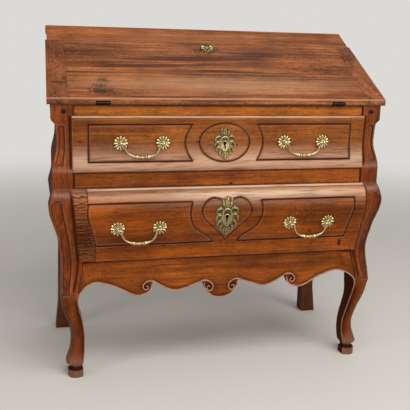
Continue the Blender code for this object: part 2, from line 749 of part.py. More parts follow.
def build_boards(desk):
    """Top, back and the horizontal boards."""
    foot = TOP_EDGE_Y - TOP_THICKNESS / SLOPE
    profile = [(TOP_EDGE_Y, TOP_Z), (foot, CEILING), (CASE_BACK, CEILING), (CASE_BACK, TOP_Z)]
    desk.add("top_board", bar(profile, lambda y, z: HALF_TOP), "lid_walnut")
    edge = LID_LENGTH + LID_JOINT
    under = CEILING - CLEARANCE
    top = (under - LID_EDGE_Z) / SLOPE
    inner_top = top + LID_THICKNESS / math.sin(SLOPE_ANGLE)
    profile = [on_slope(edge), (top, under), (inner_top, under), on_slope(edge, LID_THICKNESS)]
    desk.add("top_rail", bar(profile, lambda y, z: HALF_TOP), "lid_walnut")

    half = REAR_POST_INNER - CLEARANCE
    back = box((-half, BACK_FACE, SIDE_FOOT), (half, BACK_FACE + BOARD, CEILING - CLEARANCE))
    desk.add("back_panel", back, "inner_oak")
    low, tongue = OPEN_LID_UNDERSIDE + CLEARANCE, HALF_OPENING - CLEARANCE
    floor = floor_board(low, WRITING_LEVEL, FLOOR_FRONT + CLEARANCE, tongue)
    desk.add("writing_floor", floor, "inner_oak")
    level = UPPER_BASE + LIP - CLEARANCE
    desk.add("dust_board", floor_board(level - BOARD, level, POST_BACK + CLEARANCE), "inner_oak")
    level = DRAWER_BASE + LIP - CLEARANCE
    tongue = opening_half(DRAWER_BASE) - 2 * CLEARANCE
    bottom = floor_board(level - BOARD, level, APRON_FRONT + APRON_THICKNESS + CLEARANCE, tongue)
    desk.add("bottom_board", bottom, "inner_oak")


def build_rails(desk):
    """The frieze rail under the lid, and the rail between the drawers."""
    half = HALF_OPENING - CLEARANCE
    start = LID_UNDER_Z - CLEARANCE / math.cos(SLOPE_ANGLE)
    crest = (WRITING_LEVEL - start) / SLOPE
    foot = UPPER_TOP - LIP + CLEARANCE
    profile = [(FRIEZE_SETBACK, foot), (FRIEZE_SETBACK, start + SLOPE * FRIEZE_SETBACK),
               (crest, WRITING_LEVEL),
               (FLOOR_FRONT, WRITING_LEVEL), (FLOOR_FRONT, foot)]
    frieze = desk.add("frieze_rail", bar(profile, lambda y, z: half), "case_walnut")
    half = opening_half(LOWER_TOP - LIP) - CLEARANCE
    low = (-half, HEAD_FRONT - DIE_FRONT + CLEARANCE, LOWER_TOP - LIP + CLEARANCE)
    high = (half, POST_BACK, UPPER_BASE + LIP - CLEARANCE)
    desk.add("mid_rail", eased_box(low, high, CLEARANCE), "case_walnut")
    return frieze


def apron_foot(end):
    """Lower outline of the right half of the apron: a centre drop and two lobes that meet in cusps."""
    crest = DRAWER_BASE - APRON_CREST
    lobe_end = DROP_HALF_WIDTH + LOBE_SHARE * (end[0] - DROP_HALF_WIDTH)

    def shaped(start, stop, height, shares):
        return [(start + a * (stop - start), crest - b * height) for a, b in shares]

    drop = smooth_through(shaped(0, DROP_HALF_WIDTH, DROP_HEIGHT, DROP_SHAPE))
    lobe = smooth_through(shaped(DROP_HALF_WIDTH, lobe_end, LOBE_HEIGHT, LOBE_SHAPE))
    scroll = smooth_through([*shaped(lobe_end, end[0], SCROLL_HEIGHT, SCROLL_SHAPE), end])
    return [*drop[:-1], *lobe[:-1], *scroll]


def build_apron(desk):
    """The shaped rail under the lower drawer, fitted to the inner edges of the posts."""
    level = DRAWER_BASE + LIP - CLEARANCE
    heights = [z for z in post_heights() if KNEE_HEIGHT + APRON_EAR <= z < level]
    ends = [(post_inner(z) - CLEARANCE, z) for z in [*heights, level]]
    right = [*apron_foot(ends[0]), *ends[1:]]
    outline = [*right, *[(-x, z) for x, z in reversed(right)][:-1]]
    board = plate([outline], -APRON_FRONT - APRON_THICKNESS, -APRON_FRONT, FRONT_PLANE)
    desk.add("apron", board, "case_walnut")


def curved_board(low, high, half, front, back):
    """A board across the desk whose front, and perhaps back, follows the case's swellings."""
    heights = curve_heights(low, high)
    profile = [(front(z), z) for z in heights] + [(back(z), z) for z in reversed(heights)]
    return bar(profile, lambda y, z: half(z))


def drawer_front(low, high, half):
    """A lipped front: a curved skin over the case, and a block that fills the opening."""
    skin = curved_board(low, high, half, front_face, lambda z: corner_front(z) - CLEARANCE)
    margin = LIP + RUNNING
    block = curved_board(low + margin, high - margin, lambda z: opening_half(z) - RUNNING,
                         lambda z: corner_front(z) - PROUD / 2, lambda z: FRONT_BACK)
    return joined([skin, block])


def on_face(outline):
    """Points of a flat outline laid on the curved drawer fronts."""
    return [(x, front_face(z), z) for x, z in outline]


def riser(x0, z0, x1, z1):
    """A run from one point to another in short steps, so that it can follow the curved face."""
    count = 2 * FACETS
    return [(x0 + (x1 - x0) * i / count, z0 + (z1 - z0) * i / count) for i in range(count)]


def upper_panels():
    """Grooved outlines on the upper drawer: two panels with hollow inner ends, and an oval."""
    middle = (UPPER_BASE + UPPER_TOP) / 2
    high, low = middle + UPPER_PANEL_HALF_HEIGHT, middle - UPPER_PANEL_HALF_HEIGHT
    count = 2 * FACETS
    hollow = []
    for i in range(count):
        turn = math.pi * i / count
        hollow.append((PANEL_INNER + PANEL_END_HOLLOW * math.sin(turn), low + (high - low) * i / count))
    outlines = []
    for side in (-1, 1):
        end = [*riser(PANEL_OUTER, high, PANEL_OUTER, low), (PANEL_OUTER, low)]
        panel = [*hollow, (PANEL_INNER, high), *end]
        outlines.append([(side * x, z) for x, z in panel])
    oval = []
    for i in range(4 * FACETS):
        turn = 2 * math.pi * i / (4 * FACETS)
        oval.append((OVAL_HALF_WIDTH * math.cos(turn), middle + UPPER_PANEL_HALF_HEIGHT * math.sin(turn)))
    return [*outlines, oval]


def lower_panels():
    """Grooved outlines on the lower drawer: a heart, and two panels that flow round it."""
    high, low = DRAWER_BASE + LOWER_PANEL_TOP, DRAWER_BASE + LOWER_PANEL_BOTTOM
    rise = high - low
    tip, crown = DRAWER_BASE + HEART_TIP, DRAWER_BASE + HEART_TOP
    tall = crown - tip
    flow = smooth_through([(PANEL_INNER - a * PANEL_SWEEP, high - b * rise) for a, b in FLOW_SHAPE])
    lobe = smooth_through([(a * HEART_HALF_WIDTH, crown - b * tall) for a, b in HEART_SHAPE], 3)
    outer_foot = LOWER_PANEL_OUTER - LOWER_PANEL_DRAW_IN
    outlines = []
    for side in (-1, 1):
        panel = [*flow, *riser(outer_foot, low, LOWER_PANEL_OUTER, high), (LOWER_PANEL_OUTER, high)]
        outlines.append([(side * x, z) for x, z in panel])
    heart = [*lobe, *[(-x, z) for x, z in reversed(lobe[1:-1])]]
    return [*outlines, heart]


def cut_grooves(desk, front, name, outlines):
    for i, outline in enumerate(outlines):
        groove = tube(on_face(outline), GROOVE_RADIUS, closed=True)
        boolean(front, desk.cutter(f"{name}_groove_{i + 1}", groove))


def seat(x, z, radius):
    """Where a flat disc sits on the curved face: its centre, and its turn about X from facing up."""
    step = radius / 4
    lean = (front_face(z + step) - front_face(z - step)) / (2 * step)
    turn = math.pi / 2 - math.atan(lean)
    along = Vector((0, math.cos(turn), math.sin(turn)))
    normal = Vector((0, -math.sin(turn), math.cos(turn)))
    centre = Vector((x, front_face(z), z))
    lift = 0
    for i in range(-8, 9):
        point = centre + along * (radius * i / 8)
        lift = max(lift, (point.y - front_face(point.z)) * -normal.y)
    return centre + normal * (lift + CLEARANCE), turn


def rosette(frame):
    """A fluted daisy with a stud at its heart: rings from its flat back to the top of the stud."""
    count = 2 * ROSETTE_PETALS
    stud_top = BAIL_STANDOFF + STUD_RADIUS
    rim, collar = ROSETTE_EDGE / ROSETTE_HEIGHT, 1.25 * STUD_RADIUS
    rows = (
        (ROSETTE_RADIUS, 0.10, 0, 0), (ROSETTE_RADIUS, 0.10, rim, 0),
        (0.80 * ROSETTE_RADIUS, 0.06, 0.68, 0.16),
        (0.45 * ROSETTE_RADIUS, 0.02, 0.92, 0.12), (collar, 0, 1, 0), (STUD_RADIUS, 0, 1.3, 0),
        (STUD_RADIUS, 0, (stud_top - ROSETTE_EDGE) / ROSETTE_HEIGHT, 0),
        (0.7 * STUD_RADIUS, 0, stud_top / ROSETTE_HEIGHT, 0),
    )
    rings = []
    for radius, lobe, height, flute in rows:
        ring = []
        for i in range(count):
            wave = math.cos(math.pi * i)
            reach = radius * (1 + lobe * (wave - 1) / 2)
            turn = 2 * math.pi * i / count
            rise = ROSETTE_HEIGHT * (height + flute * wave)
            ring.append((reach * math.cos(turn), reach * math.sin(turn), rise))
        rings.append(ring)
    mesh = loft(rings)
    mesh.transform(frame)
    return mesh


def bail(centre):
    """A drop handle: two pins into the studs, and a loop that swells to a bead at its middle."""
    reach = HANDLE_SPACING / 2
    shoulder = reach - STUD_RADIUS - 2 * BAIL_RADIUS
    count = 10
    loop, swell = [], []
    for i in range(2 * count + 1):
        turn = math.pi * i / (2 * count)
        across, down = abs(math.cos(turn)) ** 0.8, math.sin(turn) ** 0.8
        loop.append((math.copysign(shoulder * across, -math.cos(turn)), 0, -BAIL_DROP * down))
        swell.append(1)
    swell[count] = BEAD_SWELL
    pin = shoulder + 2 * BAIL_RADIUS + PIN_REACH
    path = [(-pin, 0, 0), *loop, (pin, 0, 0)]
    mesh = tube(path, BAIL_RADIUS, swell=[1, *swell, 1])
    mesh.transform(Matrix.Translation(centre))
    return mesh


def build_handles(desk, name, drawer, x, z):
    """Two bails on a drawer, each on a pair of rosettes."""
    for side in (-1, 1):
        middle = Vector((0, 0, 0))
        for hand in (-1, 1):
            place, turn = seat(side * x + hand * HANDLE_SPACING / 2, z, ROSETTE_RADIUS)
            frame = Matrix.Translation(place) @ Matrix.Rotation(turn, 4, "X")
            label = "inner" if hand * side < 0 else "outer"
            plate_name = f"{name}_{side_name(side)}_{label}_rosette"
            flower = desk.add(plate_name, rosette(frame), "gilt_brass", drawer)
            axis = frame @ Vector((0, 0, BAIL_STANDOFF))
            across = Vector((hand, 0, 0))
            eye = rod(axis + across * PIN_REACH / 2, axis - across * 2 * STUD_RADIUS, BAIL_RADIUS + CLEARANCE)
            boolean(flower, desk.cutter(f"{plate_name}_eye", eye))
            middle += axis / 2
        desk.add(f"{name}_{side_name(side)}_bail", bail(middle), "gilt_brass", drawer, middle)


def cartouche(width, height):
    """Right-hand outline of a scrolled key plate, from its crest down, then mirrored."""
    shape = [(0, 0.5), (0.14, 0.44), (0.24, 0.34), (0.20, 0.25), (0.36, 0.20), (0.5, 0.07), (0.40, -0.05),
             (0.49, -0.16), (0.34, -0.26), (0.20, -0.30), (0.23, -0.41), (0.10, -0.47), (0, -0.5)]
    right = smooth_through([(a * width, b * height) for a, b in shape], 2)
    return [*right, *[(-a, b) for a, b in reversed(right[1:-1])]]


def keyhole():
    """A round eye over a straight slot."""
    eye = []
    for i in range(9):
        turn = math.radians(-60 + 300 * i / 8)
        eye.append((KEYHOLE_RADIUS * math.cos(turn), KEYHOLE_RADIUS * math.sin(turn)))
    foot = KEYHOLE_RADIUS * 0.5
    return [*eye, (-foot, -KEYHOLE_LENGTH), (foot, -KEYHOLE_LENGTH)]


def key_plate(x, z, size):
    """A key plate bent to the drawer's face."""
    outline = [(x + a, z + b) for a, b in cartouche(*size)]
    hole = [(x + a, z + b) for a, b in keyhole()]
    flat = plate([outline, hole], CLEARANCE, CLEARANCE + ESCUTCHEON_THICKNESS, FRONT_PLANE)
    bm = bmesh.new()
    bm.from_mesh(flat)
    bpy.data.meshes.remove(flat)
    for level in steps_between(z - size[1] / 2, z + size[1] / 2, 2 * FACETS)[1:-1]:
        bmesh.ops.bisect_plane(bm, geom=bm.verts[:] + bm.edges[:] + bm.faces[:], plane_co=(0, 0, level),
                               plane_no=(0, 0, 1), dist=1e-6)
    for vertex in bm.verts:
        vertex.co.y += front_face(vertex.co.z)
    return finished(bm, "key_plate")


def lock_case(low_x, y, top):
    """A lock: a back plate with a smaller box on it."""
    width, height, depth = LOCK
    edge = height / 8
    back = box((low_x, y, top - height), (low_x + width, y + depth / 4, top))
    low = (low_x + edge, y + depth / 8, top - height + edge)
    case = box(low, (low_x + width - edge, y + depth, top - edge))
    return joined([back, case])


def build_drawer(desk, name, low, high, half, box_half, panels, handle, size):
    """One long drawer with its box, grooved front, lock, key plate and handles."""
    drawer = desk.assembly(f"{name}_drawer")
    front = desk.add(f"{name}_drawer_front", drawer_front(low, high, half), "drawer_walnut", drawer)
    cut_grooves(desk, front, name, panels)

    base, crest = low + LIP + CLEARANCE, high - LIP - RUNNING - DRAWER_SIDE_DROP
    start, end = FRONT_BACK + CLEARANCE, DRAWER_END
    inner = box_half - BOARD
    for side in (-1, 1):
        ends = sorted((side * inner, side * box_half))
        wall = box((ends[0], start, base), (ends[1], end, crest))
        desk.add(f"{name}_drawer_{side_name(side)}_side", wall, "inner_oak", drawer)
    inner -= CLEARANCE
    wall = box((-inner, end - BOARD, base), (inner, end, crest))
    desk.add(f"{name}_drawer_back", wall, "inner_oak", drawer)
    floor = base + BOTTOM_RISE
    board = box((-inner, start, floor), (inner, end - BOARD - CLEARANCE, floor + BOARD))
    desk.add(f"{name}_drawer_bottom", board, "inner_oak", drawer)

    desk.add(f"{name}_drawer_lock", lock_case(-LOCK[0] / 2, start, crest), "forged_iron", drawer)
    desk.add(f"{name}_drawer_escutcheon", key_plate(0, size[0], size[1]), "gilt_brass", drawer)
    build_handles(desk, f"{name}_drawer", drawer, *handle)


def build_drawers(desk):
    handle = (UPPER_HANDLE_X, UPPER_TOP - UPPER_HANDLE_DROP)
    key = ((UPPER_BASE + UPPER_TOP) / 2, UPPER_ESCUTCHEON)
    box_half = HALF_OPENING - RUNNING
    half = lambda z: HALF_DRAWER
    build_drawer(desk, "upper", UPPER_BASE, UPPER_TOP, half, box_half, upper_panels(), handle, key)
    handle = (LOWER_HANDLE_X, DRAWER_BASE + LOWER_HANDLE_RISE)
    key = (DRAWER_BASE + HEART_TOP - LOWER_ESCUTCHEON[1] / 2, LOWER_ESCUTCHEON)
    box_half = opening_half(DRAWER_BASE) - RUNNING
    half = lambda z: opening_half(z) + LOWER_LIP
    build_drawer(desk, "lower", DRAWER_BASE, LOWER_TOP, half, box_half, lower_panels(), handle, key)


def lid_board(inner, outer):
    """A lid board: the lid's section between two half-widths given as functions of y."""
    across, down = BARREL_RADIUS * math.sin(SLOPE_ANGLE), BARREL_RADIUS * math.cos(SLOPE_ANGLE)
    eased_corner = [(across, HINGE_Z - down), (0, HINGE_Z - BARREL_RADIUS)]
    profile = [*eased_corner, (0, LID_EDGE_Z), on_slope(LID_LENGTH), on_slope(LID_LENGTH, LID_THICKNESS)]
    return loft([[(edge(y), y, z) for y, z in profile] for edge in (inner, outer)])


def in_lid(low, high):
    """A box given along the lid: across, up the slope, and out from the hinge axis."""
    mesh = box(low, high)
    mesh.transform(LID_PLANE)
    return mesh


def hinge_rod(x0, x1, radius):
    return rod((x0, 0, HINGE_Z), (x1, 0, HINGE_Z), radius)


def build_hinge(desk, side, lid, holder, frieze):
    """A butt hinge: the case leaf holds the pin and two knuckles, the lid leaf turns on it."""
    middle = side * HINGE_X
    half, core = BARREL_LENGTH / 2, BARREL_LENGTH / 6
    low, high = -BARREL_RADIUS, -BARREL_RADIUS + LEAF
    leaf = in_lid((middle - half, 0, low), (middle + half, LEAF_REACH, high))
    knuckle = hinge_rod(middle - core, middle + core, BARREL_RADIUS)
    name = f"lid_{side_name(side)}_hinge_leaf"
    lid_leaf = desk.add(name, joined([leaf, knuckle]), "forged_iron", holder, (0, 0, HINGE_Z))
    hole = hinge_rod(middle - half, middle + half, HINGE_PIN + CLEARANCE)
    boolean(lid_leaf, desk.cutter(f"{side_name(side)}_pin_hole", hole))
    for hand in (-1, 1):
        ends = sorted((middle + hand * core, middle + hand * (half + CLEARANCE)))
        ends[0 if hand > 0 else 1] -= hand * CLEARANCE
        room = in_lid((ends[0], -BARREL_RADIUS, low - LEAF), (ends[1], BARREL_RADIUS * 1.25, high + LEAF))
        boolean(lid_leaf, desk.cutter(f"{side_name(side)}_leaf_room_{side_name(hand)}", room))

    bottom = low - 2 * CLEARANCE
    inset = half - 2 * CLEARANCE
    low_corner = (middle - inset, -0.4 * BARREL_RADIUS, bottom - LEAF)
    pieces = [in_lid(low_corner, (middle + inset, LEAF_REACH, bottom))]
    for hand in (-1, 1):
        ends = sorted((middle + hand * (core + CLEARANCE), middle + hand * half))
        low_corner = (ends[0] + CLEARANCE, -0.6 * BARREL_RADIUS, bottom - LEAF / 2)
        neck = in_lid(low_corner, (ends[1] - CLEARANCE, 0.3 * BARREL_RADIUS, -0.5 * BARREL_RADIUS))
        pieces += [neck, hinge_rod(*ends, BARREL_RADIUS)]
    pieces.append(hinge_rod(middle - inset, middle + inset, HINGE_PIN))
    desk.add(f"case_{side_name(side)}_hinge_leaf", joined(pieces), "forged_iron")

    wide = half + 2 * CLEARANCE
    low_corner = (middle - wide, -2 * BARREL_RADIUS, bottom - LEAF - CLEARANCE)
    bed = in_lid(low_corner, (middle + wide, LEAF_REACH + CLEARANCE, 0))
    boolean(frieze, desk.cutter(f"{side_name(side)}_hinge_bed", bed))
    turn_room = hinge_rod(middle - wide, middle + wide, BARREL_RADIUS * 1.25)
    boolean(lid, desk.cutter(f"{side_name(side)}_hinge_notch", turn_room))
    low_corner = (middle - wide, 0, -2 * BARREL_RADIUS)
    sink = in_lid(low_corner, (middle + wide, LEAF_REACH + CLEARANCE, high + CLEARANCE))
    boolean(lid, desk.cutter(f"{side_name(side)}_leaf_sink", sink))


def build_lid(desk, frieze):
    """The fall front: a wide board between two end cleats, with its lock, key plate and hinges."""
    holder = desk.empty("lid", desk.root, (0, 0, 0))
    axis = (0, 0, HINGE_Z)
    half = HALF_LID_TOP - CLEAT_WIDTH
    lid = desk.add("lid_panel", lid_board(lambda y: -half, lambda y: half), "lid_walnut", holder, axis)
    for side in (-1, 1):
        cleat = lid_board(lambda y: side * (half + CLEARANCE), lambda y: side * lid_half(y))
        desk.add(f"lid_{side_name(side)}_cleat", cleat, "lid_walnut", holder, axis)
        build_hinge(desk, side, lid, holder, frieze)

    width, height, depth = LOCK
    under = -BARREL_RADIUS - CLEARANCE
    centre = LID_LENGTH + (LID_THICKNESS - BARREL_RADIUS) * SLOPE - LID_KEY_DROP
    crest = centre + height / 2
    edge = height / 8
    back = in_lid((-width / 2, crest - height, under - depth / 4), (width / 2, crest, under))
    low = (-width / 2 + edge, crest - height + edge, under - depth)
    case = in_lid(low, (width / 2 - edge, crest - edge, under - depth / 8))
    desk.add("lid_lock", joined([back, case]), "forged_iron", holder, axis)
    outside = LID_THICKNESS - BARREL_RADIUS + CLEARANCE
    outline = [(a, centre + b) for a, b in cartouche(*LID_ESCUTCHEON)]
    hole = [(a, centre + b) for a, b in keyhole()]
    badge = plate([outline, hole], outside, outside + ESCUTCHEON_THICKNESS, LID_PLANE)
    desk.add("lid_escutcheon", badge, "gilt_brass", holder, axis)


def small_knob(radius, length, frame):
    """A turned knob: (radius, height) from its crown down to its stem."""
    shares = ((0, 1), (0.55, 0.96), (0.92, 0.80), (1, 0.62), (0.8, 0.42), (0.45, 0.26), (0.5, 0), (0, 0))
    return turned([(a * radius, b * length) for a, b in shares], frame)


def build_lopers(desk):
    """Pull-out slides that carry the open lid, each with an iron knob."""
    front = LOPER_FRONT
    for side in (-1, 1):
        holder = desk.assembly(f"{side_name(side)}_loper_slide")
        ends = sorted((side * LOPER_INNER, side * LOPER_OUTER))
        high = (ends[1], front + LOPER_LENGTH, LOPER_BASE + LOPER_HEIGHT)
        slide = box((ends[0], front, LOPER_BASE), high)
        desk.add(f"{side_name(side)}_loper", slide, "case_walnut", holder)
        place = (side * (LOPER_INNER + LOPER_OUTER) / 2, front - CLEARANCE, LOPER_BASE + LOPER_HEIGHT / 2)
        frame = Matrix.Translation(place) @ Matrix.Rotation(math.pi / 2, 4, "X")
        knob = small_knob(KNOB_RADIUS, KNOB_LENGTH, frame)
        desk.add(f"{side_name(side)}_loper_knob", knob, "forged_iron", holder)


def build_gallery(desk):
    """A shelf on a partition at the back of the desk well, with a small drawer on each side under it."""
    floor = WRITING_LEVEL + CLEARANCE
    rear = BACK_FACE - CLEARANCE
    half = GALLERY_BOARD / 2
    shelf = floor_board(GALLERY_TOP, GALLERY_TOP + GALLERY_BOARD, GALLERY_FRONT)
    desk.add("gallery_shelf", shelf, "inner_oak")
    wall = box((-half, GALLERY_FRONT, floor), (half, rear, GALLERY_TOP - CLEARANCE))
    desk.add("gallery_partition", wall, "inner_oak")
    for side in (-1, 1):
        name = side_name(side)
        holder = desk.assembly(f"{name}_small_drawer")
        near, far = half + RUNNING / 2, HALF_INNER - RUNNING / 2
        low, high = floor, GALLERY_TOP - RUNNING / 2
        ends = sorted((side * near, side * far))
        front = box((ends[0], GALLERY_FRONT, low), (ends[1], GALLERY_FRONT + GALLERY_BOARD, high))
        place = (side * (near + far) / 2, GALLERY_FRONT + CLEARANCE, (low + high) / 2)
        frame = Matrix.Translation(place) @ Matrix.Rotation(math.pi / 2, 4, "X")
        knob = small_knob(SMALL_KNOB_RADIUS, SMALL_KNOB_LENGTH, frame)
        desk.add(f"{name}_small_drawer_front", joined([front, knob]), "drawer_walnut", holder)
        start = GALLERY_FRONT + GALLERY_BOARD + CLEARANCE
        block = box((ends[0], start, low), (ends[1], TRAY_END, high - TRAY_WALL))
        tray = desk.add(f"{name}_small_drawer_tray", block, "inner_oak", holder)
        low_corner = (ends[0] + TRAY_WALL, start + TRAY_WALL, low + TRAY_WALL)
        room = box(low_corner, (ends[1] - TRAY_WALL, TRAY_END - TRAY_WALL, CEILING))
        boolean(tray, desk.cutter(f"{name}_tray_room", room))


def main():
    desk = Desk()
    space = desk.cutter("lid_space", lid_space())
    build_posts(desk, space)
    build_sides(desk, space)
    build_boards(desk)
    frieze = build_rails(desk)
    build_apron(desk)
    build_lid(desk, frieze)
    build_lopers(desk)
    build_drawers(desk)
    build_gallery(desk)
    desk.centre()


main()
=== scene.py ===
"""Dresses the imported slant-front desk: carved walnut, gilt brass and a plain studio round it.

Everything is in metres with +Z up, and the front of the desk looks towards -Y. Heights are from the floor.
Depths are from the front edge of the closed lid, which stands at FRONT in the frame.
"""

import logging
import math
from dataclasses import dataclass, field
from enum import Enum
from typing import Callable, Mapping, Optional, Sequence, Union

import bpy
import numpy as np
from mathutils import Matrix, Vector
from mathutils.geometry import tessellate_polygon


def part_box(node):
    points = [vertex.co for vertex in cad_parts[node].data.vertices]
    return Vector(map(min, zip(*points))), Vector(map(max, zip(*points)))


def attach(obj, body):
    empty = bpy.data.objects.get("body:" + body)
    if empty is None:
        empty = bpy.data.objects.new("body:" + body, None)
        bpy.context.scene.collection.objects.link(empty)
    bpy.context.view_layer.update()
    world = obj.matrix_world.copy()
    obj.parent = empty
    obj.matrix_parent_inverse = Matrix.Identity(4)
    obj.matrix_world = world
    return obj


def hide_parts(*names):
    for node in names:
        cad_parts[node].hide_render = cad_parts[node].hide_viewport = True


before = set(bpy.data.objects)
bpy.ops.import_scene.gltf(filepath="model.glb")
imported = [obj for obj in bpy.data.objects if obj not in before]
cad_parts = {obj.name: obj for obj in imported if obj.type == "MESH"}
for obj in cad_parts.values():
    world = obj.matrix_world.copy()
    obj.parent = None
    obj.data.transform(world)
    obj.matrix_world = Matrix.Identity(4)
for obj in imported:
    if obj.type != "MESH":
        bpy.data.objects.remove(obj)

LOG = logging.getLogger("desk")
MM = 0.001
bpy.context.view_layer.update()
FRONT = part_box("lid_panel")[0].y

Pair = tuple[float, float]
Point = tuple[float, float, float]
Outline = list[Pair]
Tree = bpy.types.NodeTree
Socket = bpy.types.NodeSocket
Value = Union[float, int, tuple, Socket]
Numbers = Union[float, np.ndarray]

UNIT = (0.0, 1.0)
# Edges that turn by more than this many degrees stay crisp
CREASE = 38.0


class Side(Enum):
    """Left and right of someone who stands in front of the desk."""

    LEFT = -1
    RIGHT = 1

    @property
    def label(self) -> str:
        """The side's word in the names of the nodes."""
        return self.name.lower()


class Grain(Enum):
    """The axis along which the fibres of a timber run, as the index of X, Y or Z."""

    ACROSS = 0
    BACK = 1
    UPRIGHT = 2


def linear(hex_colour: str) -> tuple[float, float, float, float]:
    """Turns an sRGB hex value into a linear colour.

    Args:
        hex_colour: Six hex digits after a hash sign.

    Returns:
        Red, green, blue and an alpha of one.
    """
    parts = [int(hex_colour[i:i + 2], 16) / 255 for i in (1, 3, 5)]
    return (*[c / 12.92 if c <= 0.04045 else ((c + 0.055) / 1.055) ** 2.4 for c in parts], 1.0)


def add_node(
    tree: Tree, kind: str, settings: Mapping[str, object], inputs: Mapping[Union[str, int], Value]
) -> bpy.types.Node:
    """Adds one node with its settings and links.

    Args:
        tree: The tree that takes the node.
        kind: The node's type name.
        settings: Values of the node's own properties.
        inputs: A constant or another node's output for each input socket.

    Returns:
        The new node.
    """
    node = tree.nodes.new(kind)
    for name, value in settings.items():
        setattr(node, name, value)
    for key, value in inputs.items():
        if isinstance(value, Socket):
            tree.links.new(value, node.inputs[key])
        else:
            node.inputs[key].default_value = value
    return node


def maths(tree: Tree, operation: str, first: Value, second: Value) -> Socket:
    """Joins two numbers by an operation."""
    return add_node(tree, "ShaderNodeMath", {"operation": operation}, {0: first, 1: second}).outputs[0]


def vector_maths(tree: Tree, operation: str, *values: Value) -> bpy.types.bpy_prop_collection:
    """Joins vectors by an operation, and gives the result as a vector and as a number."""
    return add_node(tree, "ShaderNodeVectorMath", {"operation": operation}, dict(enumerate(values))).outputs


def ramp(tree: Tree, value: Socket, band: Pair) -> Socket:
    """Rises smoothly from nought at a band's first value to one at its second."""
    ends = {"Value": value, "From Min": band[0], "From Max": band[1]}
    return add_node(tree, "ShaderNodeMapRange", {"interpolation_type": "SMOOTHSTEP"}, ends).outputs[0]


def scaled(tree: Tree, value: Socket, band: Pair, levels: Pair) -> Socket:
    """Carries a band of values evenly over to new levels, and holds them between those."""
    ends = {"From Min": band[0], "From Max": band[1], "To Min": levels[0], "To Max": levels[1]}
    return add_node(tree, "ShaderNodeMapRange", {}, {"Value": value, **ends}).outputs[0]


def mix(tree: Tree, factor: Value, first: Value, second: Value, blend: str = "MIX") -> Socket:
    """Mixes two colours."""
    settings = {"data_type": "RGBA", "blend_type": blend, "clamp_factor": True}
    return add_node(tree, "ShaderNodeMix", settings, {0: factor, 6: first, 7: second}).outputs[2]


def object_place(tree: Tree) -> Socket:
    """Gives the place of each point in the piece's own coordinates, in metres."""
    return add_node(tree, "ShaderNodeTexCoord", {}, {}).outputs["Object"]


def attribute(tree: Tree, name: str) -> Socket:
    """Gives a number that a piece's points carry."""
    return add_node(tree, "ShaderNodeAttribute", {"attribute_name": name}, {}).outputs["Fac"]


def noise(tree: Tree, place: Socket, size: float, detail: float) -> Socket:
    """Adds a noise whose features have one size, in millimetres, along every axis."""
    inputs = {"Vector": place, "Scale": 1 / (size * MM), "Detail": detail}
    return add_node(tree, "ShaderNodeTexNoise", {}, inputs).outputs[0]


def open_air(tree: Tree, reach: float) -> Socket:
    """Gives how open the surface is within a reach in millimetres, one where nothing stands over it."""
    inputs = {"Distance": reach * MM}
    return add_node(tree, "ShaderNodeAmbientOcclusion", {"samples": 8}, inputs).outputs["AO"]


def bump(tree: Tree, height: Socket, depth: float) -> Socket:
    """Roughens the surface by a depth in millimetres."""
    inputs = {"Strength": 0.4, "Distance": depth * MM, "Height": height}
    return add_node(tree, "ShaderNodeBump", {}, inputs).outputs[0]


def finish_surface(tree: Tree, inputs: Mapping[Union[str, int], Value]) -> None:
    """Adds the shader and joins it to the material's output."""
    surface = add_node(tree, "ShaderNodeBsdfPrincipled", {}, inputs)
    add_node(tree, "ShaderNodeOutputMaterial", {}, {"Surface": surface.outputs[0]})


def link(name: str, data: bpy.types.ID) -> bpy.types.Object:
    """Makes an object and puts it in the scene.

    Args:
        name: The object's name.
        data: Its mesh, lamp or camera.

    Returns:
        The object.
    """
    made = bpy.data.objects.new(name, data)
    bpy.context.scene.collection.objects.link(made)
    return made


def new_material(name: str) -> tuple[bpy.types.Material, Tree]:
    """Makes a material with an empty tree.

    Args:
        name: The material's name.

    Returns:
        The material and its tree.
    """
    material = bpy.data.materials.new(name)
    material.use_nodes = True
    material.node_tree.nodes.clear()
    return material, material.node_tree


@dataclass(frozen=True)
class Mark:
    """A knot, stain, joint line, worm hole, painted shade or painted highlight in a timber.

    Its middle is (x, depth, height). It is full within its core's share of its reach along each axis, and
    specks of wood break its rim.
    """

    middle: Point
    reach: Point
    strength: float
    ragged: float = 0.6
    core: float = 0.3
    pale: bool = False


